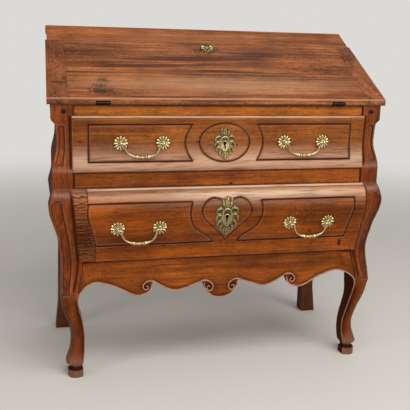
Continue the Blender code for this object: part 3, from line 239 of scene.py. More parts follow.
@dataclass(frozen=True)
class Timber:
    """A sawn, planed and waxed hardwood, with figure, growth rings, fibres and open pores along its grain.

    Scales are (along, across) the grain in millimetres.
    """

    name: str
    dark: str
    middle: str
    light: str
    grain: Grain
    streak: float = 0.45
    figure: Pair = (520.0, 52.0)
    rings: Pair = (300.0, 9.0)
    # Real fibres and pores are finer than a millimetre; these are coarser, so that they show in a picture
    fibres: Pair = (75.0, 5.0)
    pores: Pair = (26.0, 3.2)
    # Size of the clouds that age has left, and of small specks, along every axis
    patina: float = 95.0
    speck: float = 7.0
    # Dark lines of late wood, and how strongly they show
    lines: Pair = (330.0, 6.5)
    lined: float = 0.5
    # Pale colour of bare wood, which also paints sheen and highlights; then the grime colour, which also
    # paints shade
    worn: str = "#C49A76"
    grime_and_shade: str = "#331306"
    # How bare its sharp edges are, and how wide the bare part is in millimetres
    arris: float = 0.45
    arris_width: float = 2.2
    gloss: Pair = (0.33, 0.48)
    # Old wax yellows, so that it mirrors warmly
    sheen: str = "#F5E2CF"
    specular: float = 0.28
    marks: tuple[Mark, ...] = ()

    # The part of each noise's range over which it takes effect
    FIGURE_BAND = (0.34, 0.60)
    RING_BAND = (0.42, 0.68)
    LINE_BAND = (0.54, 0.70)
    PORE_BAND = (0.58, 0.70)
    RUBBED_BAND = (0.15, 0.55)
    # The middle of a noise's range, and the shades that clouds, fibres and specks lay over the colour
    NOISE_BAND = (0.25, 0.75)
    CLOUD_SHADES = (0.62, 1.34)
    FIBRE_SHADES = (0.72, 1.26)
    SPECK_SHADES = (0.78, 1.22)
    PORE_DIRT = 0.55
    # How strongly the specks break the rim of a ragged mark
    TEAR = 5.0
    # Cosine of the angle between a face and its eased edge, where the edge starts to be bare and where it is
    ARRIS_BAND = (0.985, 0.90)
    # Dirt and painted shade in corners: its reach in millimetres, how closed a corner is where it starts and
    # is full, and its strength; then the strength of the dirt and painted shade that the points carry
    CORNER_REACH = 14.0
    CORNER_BAND = (0.80, 0.25)
    CORNER_DIRT_AND_SHADE = 0.75
    HOLLOW_DIRT_AND_SHADE = 0.96
    DIRT_ROUGHNESS = 0.95
    # Height of the fibres in millimetres, and depth of the pores as a share of it
    RELIEF = 0.35
    PORE_DEPTH = 1.2

    def stretched(self, tree: Tree, place: Socket, size: Pair, detail: float, waver: float = 0.0) -> Socket:
        """Adds a noise drawn out along the grain.

        Args:
            tree: The material's tree.
            place: Coordinates in metres.
            size: Length of its features along and across the grain, in millimetres.
            detail: Octaves of finer noise.
            waver: How far it wavers.

        Returns:
            The noise's value, about one half in the mean.
        """
        scale = [1 / (size[1] * MM)] * 3
        scale[self.grain.value] = 1 / (size[0] * MM)
        mapping = add_node(tree, "ShaderNodeMapping", {}, {"Vector": place, "Scale": tuple(scale)})
        return add_node(tree, "ShaderNodeTexNoise", {"noise_dimensions": "3D"}, {
            "Vector": mapping.outputs[0], "Scale": 1.0, "Detail": detail, "Distortion": waver,
        }).outputs[0]

    def shaded(self, tree: Tree, colour: Socket, value: Socket, shades: Pair) -> Socket:
        """Lays the shades of a noise over a colour.

        Args:
            tree: The material's tree.
            colour: The colour so far.
            value: The noise.
            shades: The darkest and the lightest shade.

        Returns:
            The shaded colour.
        """
        level = scaled(tree, value, self.NOISE_BAND, shades)
        grey = add_node(tree, "ShaderNodeCombineColor", {}, {0: level, 1: level, 2: level}).outputs[0]
        return mix(tree, 1.0, colour, grey, "MULTIPLY")

    def clean_wood(self, tree: Tree, place: Socket, fibres: Socket, specks: Socket) -> Socket:
        """Gives the colour of the wood itself.

        Args:
            tree: The material's tree.
            place: Coordinates in metres.
            fibres: The noise of the fibres.
            specks: The noise of the specks.

        Returns:
            The colour, with its figure, rings, late wood and shades.
        """
        figure = self.stretched(tree, place, self.figure, 4.0, 0.6)
        rings = self.stretched(tree, place, self.rings, 5.0, 0.4)
        lines = self.stretched(tree, place, self.lines, 3.0, 0.3)
        colour = mix(tree, ramp(tree, figure, self.FIGURE_BAND), linear(self.dark), linear(self.middle))
        streaks = maths(tree, "MULTIPLY", ramp(tree, rings, self.RING_BAND), self.streak)
        colour = mix(tree, streaks, colour, linear(self.light))
        late_wood = maths(tree, "MULTIPLY", ramp(tree, lines, self.LINE_BAND), self.lined)
        colour = mix(tree, late_wood, colour, linear(self.dark))
        colour = self.shaded(tree, colour, noise(tree, place, self.patina, 4.0), self.CLOUD_SHADES)
        colour = self.shaded(tree, colour, fibres, self.FIBRE_SHADES)
        return self.shaded(tree, colour, specks, self.SPECK_SHADES)

    def marked(self, tree: Tree, colour: Socket, place: Socket, specks: Socket) -> Socket:
        """Lays the timber's marks over its colour.

        Args:
            tree: The material's tree.
            colour: The colour so far.
            place: Coordinates in metres.
            specks: The noise that breaks the marks' rims.

        Returns:
            The colour with its marks.
        """
        for mark in self.marks:
            x, depth, z = mark.middle
            away = vector_maths(tree, "SUBTRACT", place, (x, FRONT + depth, z))[0]
            share = vector_maths(tree, "DIVIDE", away, mark.reach)[0]
            torn = maths(tree, "MULTIPLY", maths(tree, "ADD", specks, -0.5), self.TEAR * mark.ragged)
            distance = maths(tree, "ADD", vector_maths(tree, "LENGTH", share)[1], torn)
            near = ramp(tree, distance, (1.0, mark.core))
            # A mark darkens to the grime colour for stains, joints and painted shade; a pale one lightens to
            # bare wood for painted sheen and highlights
            stain = linear(self.worn if mark.pale else self.grime_and_shade)
            colour = mix(tree, maths(tree, "MULTIPLY", near, mark.strength), colour, stain)
        return colour

    def bareness_and_sheen(self, tree: Tree, fibres: Socket) -> Socket:
        """Gives how bare the wood is, with the painted sheen that its points carry.

        Args:
            tree: The material's tree.
            fibres: The noise of the fibres, some of which keep their polish.

        Returns:
            The larger of the points' own bareness with painted sheen, and that of the sharp edges.
        """
        face = add_node(tree, "ShaderNodeNewGeometry", {}, {}).outputs["True Normal"]
        inputs = {"Radius": self.arris_width * MM}
        eased = add_node(tree, "ShaderNodeBevel", {"samples": 6}, inputs).outputs[0]
        turn = vector_maths(tree, "DOT_PRODUCT", face, eased)[1]
        edges = maths(tree, "MULTIPLY", ramp(tree, turn, self.ARRIS_BAND), self.arris)
        wear_and_sheen = maths(tree, "MAXIMUM", attribute(tree, "wear_and_sheen"), edges)
        return maths(tree, "MULTIPLY", wear_and_sheen, ramp(tree, fibres, self.RUBBED_BAND))

    def build(self) -> bpy.types.Material:
        """Builds the material.

        Returns:
            The material.
        """
        material, tree = new_material(self.name)
        place = object_place(tree)
        fibres = self.stretched(tree, place, self.fibres, 3.0)
        specks = noise(tree, place, self.speck, 3.0)
        pores = ramp(tree, self.stretched(tree, place, self.pores, 2.0), self.PORE_BAND)
        colour = self.clean_wood(tree, place, fibres, specks)
        colour = mix(tree, maths(tree, "MULTIPLY", pores, self.PORE_DIRT), colour, linear(self.grime_and_shade))
        colour = self.marked(tree, colour, place, specks)
        colour = mix(tree, self.bareness_and_sheen(tree, fibres), colour, linear(self.worn))
        # Corners, and the points' own hollow value, darken towards the grime colour: dirt, and painted shade
        corners = ramp(tree, open_air(tree, self.CORNER_REACH), self.CORNER_BAND)
        hollow = maths(tree, "MULTIPLY", attribute(tree, "hollow"), self.HOLLOW_DIRT_AND_SHADE)
        dirt = maths(tree, "MAXIMUM", maths(tree, "MULTIPLY", corners, self.CORNER_DIRT_AND_SHADE), hollow)
        rough = scaled(tree, maths(tree, "MAXIMUM", fibres, pores), UNIT, self.gloss)
        height = maths(tree, "ADD", fibres, maths(tree, "MULTIPLY", pores, -self.PORE_DEPTH))
        finish_surface(tree, {
            "Base Color": mix(tree, dirt, colour, linear(self.grime_and_shade)),
            "Roughness": maths(tree, "MAXIMUM", rough, maths(tree, "MULTIPLY", dirt, self.DIRT_ROUGHNESS)),
            "Specular IOR Level": self.specular,
            "Specular Tint": mix(tree, dirt, linear(self.sheen), linear(self.grime_and_shade)),
            "Normal": bump(tree, height, self.RELIEF),
        })
        return material


@dataclass(frozen=True)
class Metal:
    """A cast or forged metal with tarnish in its hollows and fine pits, sized in millimetres."""

    name: str
    bright: str
    tarnish: str
    rough: Pair
    pit: float
    depth: float
    metallic: float = 1.0

    # Tarnish in corners: its reach in millimetres, and how closed a corner is where it starts and is full
    CORNER_REACH = 4.0
    CORNER_BAND = (0.85, 0.30)
    # The part of the pits' range that is tarnished, and how far
    SPOT_BAND = (0.55, 0.80)
    SPOT_TARNISH = 0.5

    def build(self) -> bpy.types.Material:
        """Builds the material.

        Returns:
            The material.
        """
        material, tree = new_material(self.name)
        pits = noise(tree, object_place(tree), self.pit, 3.0)
        corners = scaled(tree, open_air(tree, self.CORNER_REACH), self.CORNER_BAND, UNIT)
        spots = scaled(tree, pits, self.SPOT_BAND, (0.0, self.SPOT_TARNISH))
        dull = maths(tree, "MAXIMUM", maths(tree, "MAXIMUM", corners, spots), attribute(tree, "hollow"))
        finish_surface(tree, {
            "Base Color": mix(tree, dull, linear(self.bright), linear(self.tarnish)),
            "Metallic": self.metallic,
            "Roughness": scaled(tree, dull, UNIT, self.rough),
            "Normal": bump(tree, pits, self.depth),
        })
        return material


Finish = Union[Timber, Metal]

# The lid's front edge: painted shade along its foot, and a painted highlight on its upper arris
LID_EDGE_MARKS = (
    Mark((0.0, 0.004, 0.7655), (2.0, 0.016, 0.0085), 0.80, 0.1),
    Mark((0.0, 0.001, 0.7825), (2.0, 0.0045, 0.0035), 0.60, 0.1, 0.3, True),
)
# The feathered knot, darker clouds, the stain round the key plate, the upper joint and a pale middle of
# painted sheen
LID_MARKS = (
    Mark((-0.334, 0.032, 0.802), (0.046, 0.022, 0.015), 0.97, 0.6, 0.62),
    Mark((-0.336, 0.052, 0.8135), (0.027, 0.016, 0.011), 0.95, 0.6, 0.58),
    Mark((-0.328, 0.074, 0.8265), (0.021, 0.016, 0.011), 0.93, 0.6, 0.58),
    Mark((-0.280, 0.195, 0.898), (0.330, 0.062, 0.044), 0.50, 0.25, 0.0),
    Mark((-0.440, 0.195, 0.898), (0.080, 0.095, 0.065), 0.45, 0.35, 0.0),
    Mark((0.328, 0.136, 0.863), (0.180, 0.034, 0.024), 0.55, 0.35, 0.0),
    Mark((0.332, 0.066, 0.822), (0.045, 0.026, 0.020), 0.50, 0.5, 0.0),
    Mark((0.250, 0.210, 0.907), (0.330, 0.060, 0.042), 0.45, 0.25, 0.0),
    Mark((-0.002, 0.224, 0.915), (0.095, 0.028, 0.020), 0.85, 0.2, 0.0),
    Mark((0.0, 0.2558, 0.9337), (1.2, 0.0034, 0.0034), 0.90, 0.1),
    Mark((0.430, 0.130, 0.860), (0.190, 0.150, 0.100), 0.34, 0.2, 0.0),
    Mark((0.0, 0.060, 0.8184), (0.600, 0.075, 0.050), 0.44, 0.25, 0.0, True),
    *LID_EDGE_MARKS,
)
# The crack at the left end, two darker clouds, and the front edge's painted shade and highlight
CLEAT_MARKS = (
    Mark((-0.445, 0.064, 0.8207), (0.032, 0.0045, 0.0045), 0.90, 0.3),
    Mark((-0.452, 0.195, 0.898), (0.060, 0.085, 0.060), 0.45, 0.25, 0.0),
    Mark((-0.470, 0.110, 0.848), (0.030, 0.040, 0.026), 0.32, 0.25, 0.0),
    *LID_EDGE_MARKS,
)
# Shade under the lid's edge, and two scratches
FRIEZE_MARKS = (
    Mark((0.0, 0.003, 0.7665), (2.0, 0.030, 0.0075), 0.90, 0.1),
    Mark((-0.2754, 0.003, 0.7548), (0.004, 0.004, 0.006), 0.90, 0.4),
    Mark((0.007, 0.003, 0.7557), (0.005, 0.004, 0.006), 0.90, 0.4),
)
# Painted shadow along both drawers' edges, and a worm hole
RAIL_MARKS = (
    Mark((0.0, -0.003, 0.588), (2.0, 0.020, 0.0075), 0.92, 0.1),
    Mark((0.0, -0.003, 0.543), (2.0, 0.020, 0.0050), 0.85, 0.1),
    Mark((0.020, -0.003, 0.549), (0.008, 0.006, 0.005), 0.95, 0.3),
)
# A scratch and three worm holes
UPPER_MARKS = (
    Mark((-0.397, 0.002, 0.668), (0.011, 0.02, 0.004), 0.90, 0.3),
    Mark((-0.079, 0.002, 0.6655), (0.005, 0.02, 0.005), 0.90, 0.3),
    Mark((-0.039, 0.002, 0.657), (0.004, 0.02, 0.004), 0.90, 0.3),
    Mark((0.036, 0.002, 0.656), (0.004, 0.02, 0.004), 0.90, 0.3),
)
# Worm holes, the knot at the right end and a stain under the right handle
LOWER_MARKS = (
    Mark((-0.176, -0.022, 0.3836), (0.006, 0.02, 0.006), 0.95, 0.3),
    Mark((-0.100, -0.024, 0.3923), (0.004, 0.02, 0.004), 0.90, 0.3),
    Mark((0.252, -0.026, 0.4106), (0.006, 0.02, 0.006), 0.92, 0.3),
    Mark((0.260, -0.021, 0.370), (0.005, 0.02, 0.005), 0.60, 0.3),
    Mark((0.3505, -0.022, 0.3693), (0.0065, 0.02, 0.014), 0.96, 0.25, 0.6),
    Mark((0.224, -0.036, 0.4554), (0.045, 0.03, 0.035), 0.40, 0.7),
)

# Old walnut, planed by hand and waxed many times: streaked and clouded, with a soft gloss and dark pores.
LID_WALNUT = Timber("waxed_walnut_lid", "#542714", "#955129", "#BA7745", Grain.ACROSS, 0.7,
                    lined=0.75, arris=0.12, marks=LID_MARKS)
TOP_WALNUT = Timber("waxed_walnut_top", "#783C1A", "#9C592D", "#B57242", Grain.ACROSS, 0.6)
CLEAT_WALNUT = Timber("waxed_walnut_cleat", "#5C2E18", "#8F502D", "#AA6B40", Grain.BACK,
                      arris=0.12, marks=CLEAT_MARKS)
FRIEZE_WALNUT = Timber("waxed_walnut_frieze", "#843E08", "#A85A11", "#BD711E", Grain.ACROSS,
                       marks=FRIEZE_MARKS)
RAIL_WALNUT = Timber("waxed_walnut_rails", "#6C2F07", "#974B0F", "#AE6018", Grain.ACROSS, 0.35,
                     worn="#CBA48A", marks=RAIL_MARKS)
UPPER_WALNUT = Timber("waxed_walnut_upper_drawer", "#6A310C", "#8C4C1A", "#A25F26", Grain.ACROSS,
                      worn="#D4AE92", marks=UPPER_MARKS)
LOWER_WALNUT = Timber("waxed_walnut_lower_drawer", "#6B2E05", "#93460A", "#AE5D16", Grain.ACROSS, 0.35,
                      worn="#E6C4A6", marks=LOWER_MARKS)
SIDE_WALNUT = Timber("waxed_walnut_sides", "#4B230C", "#703916", "#894E21", Grain.UPRIGHT)
POST_WALNUT = Timber("carved_walnut_posts", "#562307", "#82390B", "#9C4E14", Grain.UPRIGHT, worn="#B99A88")
BACK_WALNUT = Timber("dark_walnut_rear_posts", "#431E0C", "#623015", "#743D1D", Grain.UPRIGHT,
                     gloss=(0.45, 0.6))
# Plain-sawn oak left without polish: pale, dry and open-grained.
INNER_OAK = Timber("dry_oak_boards", "#8C6238", "#AB7D4A", "#C0925E", Grain.BACK, gloss=(0.55, 0.75))
# Cast brass that was gilded and rubbed: pale and bright on its ridges, brown in its hollows.
GILT_BRASS = Metal("gilt_cast_brass", "#E2D09E", "#33260F", (0.28, 0.6), 3.0, 0.06)
# Hammered iron under old oil: almost black, with a dull grain.
FORGED_IRON = Metal("forged_black_iron", "#332E2B", "#151110", (0.38, 0.65), 1.8, 0.15)


class Dresser:
    """Builds each finish once and gives it to the pieces."""

    def __init__(self) -> None:
        """Starts with no finish built."""
        self.built: dict[str, bpy.types.Material] = {}

    def material(self, finish: Finish) -> bpy.types.Material:
        """Gives the material of a finish, built the first time that it is asked for.

        Args:
            finish: The finish.

        Returns:
            Its material.
        """
        if finish.name not in self.built:
            self.built[finish.name] = finish.build()
        return self.built[finish.name]


DRESSER = Dresser()


@dataclass(frozen=True)
class Berth:
    """Where a piece belongs: the body it rides on, a slot name that nothing reads, and the nodes that it
    stands for.
    """

    body: str
    slot: str
    nodes: tuple[str, ...] = ()


@dataclass
class Shell:
    """Points and faces of one piece, gathered from its parts, with how worn each point is, with painted
    sheen, and how dark, from dirt and painted shade.
    """

    points: list[Point] = field(default_factory=list)
    faces: list[tuple[int, ...]] = field(default_factory=list)
    wear_and_sheen: list[float] = field(default_factory=list)
    hollow: list[float] = field(default_factory=list)

    def add(self, points: Sequence[Point], faces: Sequence[tuple[int, ...]],
            wear_and_sheen: Union[float, Sequence[float]] = 0.0, hollow: Union[float, Sequence[float]] = 0.0) -> None:
        """Adds one part.

        Args:
            points: Its points.
            faces: Its faces, as indices of those points.
            wear_and_sheen: How worn it is, with painted sheen, for all points or for each.
            hollow: How dark it is, from dirt and painted shade, for all points or for each.
        """
        start = len(self.points)
        count = len(points)
        self.points += [tuple(p) for p in points]
        self.faces += [tuple(start + i for i in face) for face in faces]
        self.wear_and_sheen += [wear_and_sheen] * count if isinstance(wear_and_sheen, (int, float)) else list(wear_and_sheen)
        self.hollow += [hollow] * count if isinstance(hollow, (int, float)) else list(hollow)

    def tube(self, path: Sequence[Vector], radii: Sequence[float], sides: int, wear_and_sheen: float = 0.0) -> None:
        """Adds a round bar along a path, closed at both ends.

        Args:
            path: Points along its middle.
            radii: Its radius at each point.
            sides: Number of flats round it.
            wear_and_sheen: How worn it is, with painted sheen.
        """
        last = len(path) - 1
        rings = []
        across = (path[1] - path[0]).normalized().orthogonal().normalized()
        for i, (place, radius) in enumerate(zip(path, radii)):
            along = (path[min(i + 1, last)] - path[max(i - 1, 0)]).normalized()
            across = (across - along * across.dot(along)).normalized()
            other = along.cross(across)
            ring = []
            for k in range(sides):
                turn = 2 * math.pi * k / sides
                ring.append(tuple(place + (across * math.cos(turn) + other * math.sin(turn)) * radius))
            rings.append(ring)
        self.rings(rings, wear_and_sheen)

    def rings(self, rings: Sequence[Sequence[Point]], wear_and_sheen: Union[float, Sequence[float]] = 0.0,
              hollow: Union[float, Sequence[float]] = 0.0) -> None:
        """Adds a closed body through rings of equal count, capped at both ends.

        Args:
            rings: The rings, in order.
            wear_and_sheen: How worn it is, with painted sheen, for all points or for each.
            hollow: How dark it is, from dirt and painted shade, for all points or for each.
        """
        count = len(rings[0])
        points = [p for ring in rings for p in ring]
        faces = []
        for i in range(len(rings) - 1):
            for k in range(count):
                a, b = i * count + k, i * count + (k + 1) % count
                faces.append((a, b, b + count, a + count))
        faces.append(tuple(range(count))[::-1])
        faces.append(tuple(range(len(points) - count, len(points))))
        self.add(points, faces, wear_and_sheen, hollow)

    def make(self, name: str, finish: Finish, berth: Berth, crease: float = CREASE) -> bpy.types.Object:
        """Makes the piece and puts it on its body.

        Args:
            name: The piece's name.
            finish: Its finish.
            berth: Where it belongs.
            crease: Edges sharper than this many degrees stay crisp.

        Returns:
            The piece.
        """
        mesh = bpy.data.meshes.new(name)
        mesh.from_pydata(self.points, [], self.faces)
        for label, values in (("wear_and_sheen", self.wear_and_sheen), ("hollow", self.hollow)):
            mesh.attributes.new(label, "FLOAT", "POINT").data.foreach_set("value", values)
        piece = link(name, mesh)
        mesh.materials.append(DRESSER.material(finish))
        mesh.shade_smooth()
        mesh.set_sharp_from_angle(angle=math.radians(crease))
        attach(piece, berth.body)
        if berth.nodes:
            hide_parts(*berth.nodes)
        LOG.info("%s: %d points on %s", name, len(mesh.vertices), berth.body)
        return piece


def smooth_through(points: Sequence[Sequence[float]], steps: int = 6) -> list[tuple[float, ...]]:
    """Draws a smooth run through points.

    Args:
        points: The points, of any dimension.
        steps: Spans between neighbours.

    Returns:
        The run, from the first point to the last.
    """
    padded = [points[0], *points, points[-1]]
    run = []
    for p0, p1, p2, p3 in zip(padded, padded[1:], padded[2:], padded[3:]):
        for i in range(steps):
            t = i / steps
            place = []
            for a, b, c, d in zip(p0, p1, p2, p3):
                bend = (2 * a - 5 * b + 4 * c - d) / 2 + t * (3 * b - a - 3 * c + d) / 2
                place.append(b + t * ((c - a) / 2 + t * bend))
            run.append(tuple(place))
    return [*run, tuple(points[-1])]


@dataclass(frozen=True)
class Stations:
    """Values given at some places and joined by smooth curves that don't overshoot.

    A row starts with its place.
    """

    rows: tuple[tuple[float, ...], ...]

    def grade(self, i: int, column: int) -> float:
        """Gives the slope at one row: level at each end and at each high or low.

        Args:
            i: Index of the row.
            column: Index of the value in a row.

        Returns:
            The slope.
        """
        if i in (0, len(self.rows) - 1):
            return 0.0
        below, here, above = self.rows[i - 1:i + 2]
        under = (here[column] - below[column]) / (here[0] - below[0])
        over = (above[column] - here[column]) / (above[0] - here[0])
        return 2 * under * over / (under + over) if under * over > 0 else 0.0

    def at(self, place: float, column: int = 1) -> float:
        """Gives one column's value.

        Args:
            place: The height, or whatever the rows start with.
            column: Index of the value in a row.

        Returns:
            The value at that place.
        """
        if place <= self.rows[0][0]:
            return self.rows[0][column]
        for i, (low, high) in enumerate(zip(self.rows, self.rows[1:])):
            if place <= high[0]:
                span = high[0] - low[0]
                t = (place - low[0]) / span
                start, end = self.grade(i, column) * span, self.grade(i + 1, column) * span
                rise = high[column] - low[column]
                bend = 3 * rise - 2 * start - end + t * (start + end - 2 * rise)
                return low[column] + t * (start + t * bend)
        return self.rows[-1][column]


@dataclass(frozen=True)
class Swell:
    """The swelling profile that the posts, drawer fronts and apron share."""

    # Height, outer half-width, front of the inner edge, cant
    corner: Stations = Stations((
        (0.232, 0.4555, -0.0255, 0.004), (0.343, 0.4527, -0.013, 0.020), (0.410, 0.4605, -0.026, 0.020),
        (0.493, 0.4815, -0.0405, 0.0225), (0.528, 0.473, -0.026, 0.013), (0.543, 0.470, -0.003, 0.002),
        (0.587, 0.470, -0.003, 0.002), (0.662, 0.4565, 0.0075, 0.0035), (0.711, 0.458525, 0.00525, 0.0035),
        (0.727, 0.470, 0.003, 0.0035),
    ))
    # Height, outer half-width, front of the inner edge, width, back
    leg: Stations = Stations((
        (0.0, 0.4380, -0.004, 0.0412, 0.038), (0.0205, 0.4380, -0.004, 0.0412, 0.038),
        (0.0235, 0.4325, 0.002, 0.0325, 0.032), (0.0295, 0.4325, 0.002, 0.0325, 0.032),
        (0.040, 0.4435, -0.002, 0.0480, 0.048), (0.055, 0.4390, 0.001, 0.0455, 0.049),
        (0.085, 0.4300, 0.003, 0.0390, 0.048), (0.108, 0.4285, 0.002, 0.0377, 0.045),
        (0.134, 0.4300, -0.007, 0.0380, 0.040), (0.162, 0.4350, -0.016, 0.0395, 0.034),
        (0.182, 0.4425, -0.0203, 0.0433, 0.032), (0.200, 0.4495, -0.0227, 0.0457, 0.036),
        (0.216, 0.4540, -0.0245, 0.0472, 0.043), (0.232, 0.4555, -0.0255, 0.0460, 0.052),
    ))
    leg_cant: float = 0.004
    half_opening: float = 0.411
    taper: float = 0.0176
    drawer_base: float = 0.343
    lower_top: float = 0.543
    upper_base: float = 0.587
    upper_top: float = 0.737
    lower_lip: float = 0.010
    upper_lip: float = 0.006
    knee: float = 0.232
    knee_inner: float = 0.4095
    proud: float = 0.005

    def opening_half(self, z: float) -> float:
        """Half-width of the drawer openings at a height."""
        drop = (self.lower_top - z) / (self.lower_top - self.drawer_base)
        return self.half_opening - self.taper * min(max(drop, 0), 1)

    def upper_half(self, z: float) -> float:
        """Half-width of the upper drawer's front, which is the same at every height."""
        return self.half_opening + self.upper_lip

    def lower_half(self, z: float) -> float:
        """Half-width of the lower drawer's front at a height."""
        return self.opening_half(z) + self.lower_lip

    def post_inner(self, z: float) -> float:
        """Gives the inner edge of a front post.

        Args:
            z: A height above the knee.

        Returns:
            Its distance from the middle of the desk.
        """
        if z >= self.drawer_base:
            return self.opening_half(z)
        base = self.drawer_base
        return Stations(((self.knee, self.knee_inner), (base, self.opening_half(base)))).at(z)

    def corner_front(self, z: float) -> float:
        """Depth of the posts' inner front edge at a height."""
        return self.corner.at(z, 2)

    def front_face(self, z: float) -> float:
        """Depth of the drawer fronts at a height."""
        return self.corner_front(z) - self.proud


SWELL = Swell()


def smoothstep(low: float, high: float, value: Numbers) -> Numbers:
    """Rises smoothly from nought at low to one at high."""
    t = np.clip((value - low) / (high - low), 0, 1)
    return t * t * (3 - 2 * t)


def bell(away: Numbers, reach: float) -> Numbers:
    """Falls smoothly from one at no distance to little at twice the reach."""
    return np.exp(-(away / reach) ** 2)


@dataclass(frozen=True)
class Mound:
    """A smooth rise to a strength at its middle, with little left at twice its reach."""

    strength: float
    middle: float
    reach: float

    def at(self, value: Numbers) -> Numbers:
        """Height of the mound at a value."""
        return self.strength * bell(value - self.middle, self.reach)


@dataclass
class FrontPost:
    """A front corner post: one timber from the foot block through the cabriole leg to the head."""

    side: Side
    back: float = 0.052
    leg_corner: float = 0.010
    post_corner: float = 0.0035
    inner_arris: float = 0.0022
    # Share of the width that the moulded strip beside the drawers takes
    strip: float = 0.52
    # Distance past the drawer's lip, depth and reach of the groove in that strip, and its dirt and painted
    # shade
    quirk: Point = (0.0045, 0.0030, 0.0036)
    quirk_dirt_and_shade: float = 0.95
    # How far above the belly's panel it starts to run out, and how far above that panel's foot it is full
    quirk_top: float = 0.012
    quirk_foot: float = 0.020
    rim: float = 0.0025
    panel_depth: float = 0.0036
    # Rise of the arch at a panel's end, as a share of the panel's width
    panel_bow: float = 0.20
    panel_edge: float = 0.0030
    panel_ends: tuple[Pair, ...] = ((0.248, 0.515), (0.601, 0.710))
    panel_least_width: float = 0.004
    # Dirt with painted shade, and wear, along a panel's edge, measured in widths of that edge
    panel_dirt_and_shade: Mound = Mound(0.9, 0.5, 0.5)
    panel_wear: Mound = Mound(0.18, -0.7, 0.55)
    # The leg's hollow beside its inner bead and the fall of its outer side, each with its share of the width
    leg_hollow: Pair = (0.0090, 0.52)
    leg_fall: Pair = (0.0105, 0.42)
    leg_range: Pair = (0.256, 0.215)
    # The waist between the foot block and the hoof, darkened with dirt and painted shade
    waist: Pair = (0.0205, 0.0319)
    sole: float = 0.0005
    # The wear of the foot starts at the first height and is full at the second, with old floor polish over it
    foot_range: Pair = (0.085, 0.024)
    foot_wear: float = 0.38
    foot_dirt: float = 0.36
    # Painted shade in the leg's hollow and on its outer side: strength and share of the width
    leg_painted_shade: tuple[Pair, Pair] = ((0.90, 0.36), (0.62, 0.68))
    # Wear and painted highlight on the shoulders over the belly and under the neck
    shoulder_wear_and_highlight: tuple[Mound, ...] = (Mound(0.42, 0.529, 0.0075), Mound(0.30, 0.593, 0.006))
    # Dirt and painted shade of the flank that faces the drawers and of the leg's inner flank, and darkening
    # of the post's rear edge
    post_flank_dirt_and_shade: float = 0.5
    leg_flank_dirt_and_shade: float = 0.85
    rear_darkening: float = 0.5
    arris_wear: float = 0.3
    corner_wear: float = 0.2
    # Painted shade beside a drawer's lip, how far it starts within the lip, and its reach
    lip_shade: Point = (0.8, 0.001, 0.002)
    head: float = 0.757
    step: float = 0.0030
    face_points: int = 40
    # Radius of the leg's bead, where it runs, and its wear
    bead: float = 0.0014
    bead_range: Pair = (0.238, 0.044)
    bead_wear: float = 0.6
    # The lid's underside: its height at its front edge, and its slope
    lid_under: float = 0.76523
    lid_slope: float = 0.58905
    mortise: tuple[Point, Point] = ((0.4247, -0.05, 0.7382), (0.4493, 0.10, 0.7603))

    # Steps round the inner arris and the outer corner, and shares of the depth where the flanks have points
    ARRIS_STEPS = 3
    CORNER_STEPS = 6
    INNER_FLANK = (0.0, 0.35, 0.7)
    OUTER_FLANK = (0.33, 0.66, 1.0)
    FLANK_START = 0.004
    # Shares of the waist's height that get a ring of their own
    WAIST_RINGS = (0.0, 0.1, 0.3, 0.5, 0.7)
    BEAD_STEPS = 44

    def leg_form(self, z: float, share: float) -> float:
        """Gives how far the rounded leg lies behind its flat face.

        Args:
            z: The height.
            share: Place across the leg, from nought at its inner edge to one.

        Returns:
            The depth, which fades out above the knee.
        """
        hollow, reach = self.leg_hollow
        fall, start = self.leg_fall
        inner_form = hollow * max(1 - share / reach, 0) ** 1.5
        outer_form = fall * max((share - start) / (1 - start), 0) ** 2
        return smoothstep(*self.leg_range, z) * (inner_form + outer_form)

    def shade_and_foot_dirt(self, z: float, share: float) -> float:
        """Gives the painted shade on the leg and the dirt of its scuffed foot.

        Args:
            z: The height.
            share: Place across the leg, from nought at its inner edge to one.

        Returns:
            The darkening; the painted shade fades out above the knee and towards the foot.
        """
        (inner, reach), (outer, start) = self.leg_painted_shade
        scuffed = smoothstep(*self.foot_range, z)
        darkened = max(inner * bell(share, reach), outer * smoothstep(start, 1.0, share))
        return max(smoothstep(*self.leg_range, z) * (1 - scuffed) * darkened, self.foot_dirt * scuffed)

    def rubbed(self, z: float) -> float:
        """How worn the foot is, and how worn each shoulder is with its painted highlight, at a height."""
        shoulder_wear_and_highlight = sum(shoulder.at(z) for shoulder in self.shoulder_wear_and_highlight)
        return self.foot_wear * smoothstep(*self.foot_range, z) + shoulder_wear_and_highlight

    def inner_edge(self, z: float) -> Pair:
        """Gives the inner front edge, from the foot to the drawers.

        Args:
            z: The height.

        Returns:
            Its distance from the middle of the desk and its depth.
        """
        if z < SWELL.knee:
            inner, front = SWELL.leg.at(z, 1) - SWELL.leg.at(z, 3), SWELL.leg.at(z, 2)
        else:
            inner, front = SWELL.post_inner(z), SWELL.corner_front(z)
        return inner, front + self.leg_form(z, 0.0)

    def section(self, z: float) -> tuple[Outline, list[float], list[float]]:
        """Draws the section at a height.

        Args:
            z: The height.

        Returns:
            (x, depth) round the section, and how worn each point is, with painted highlight, and how dark,
            from dirt and painted shade.
        """
        if z < SWELL.knee:
            outer, front, width, back = (SWELL.leg.at(z, column) for column in range(1, 5))
            inner, cant = outer - width, SWELL.leg_cant
        else:
            outer, front, cant = (SWELL.corner.at(z, column) for column in range(1, 4))
            inner, back = SWELL.post_inner(z), self.back
        width = outer - inner
        corner = Stations(((SWELL.knee, self.leg_corner), (self.panel_ends[0][0], self.post_corner))).at(z)
        outline, wear_and_sheen, hollow = [], [], []

        def face(x: float, depth: float = 0.0) -> Pair:
            """A point of the canted face, some way in behind it."""
            share = (x - inner) / width
            return (x, front + cant * share + self.leg_form(z, share) + depth)

        def put(point: Pair, worn: float, dirty: float) -> None:
            """Adds a point to the section."""
            outline.append(point)
            wear_and_sheen.append(worn)
            hollow.append(dirty)
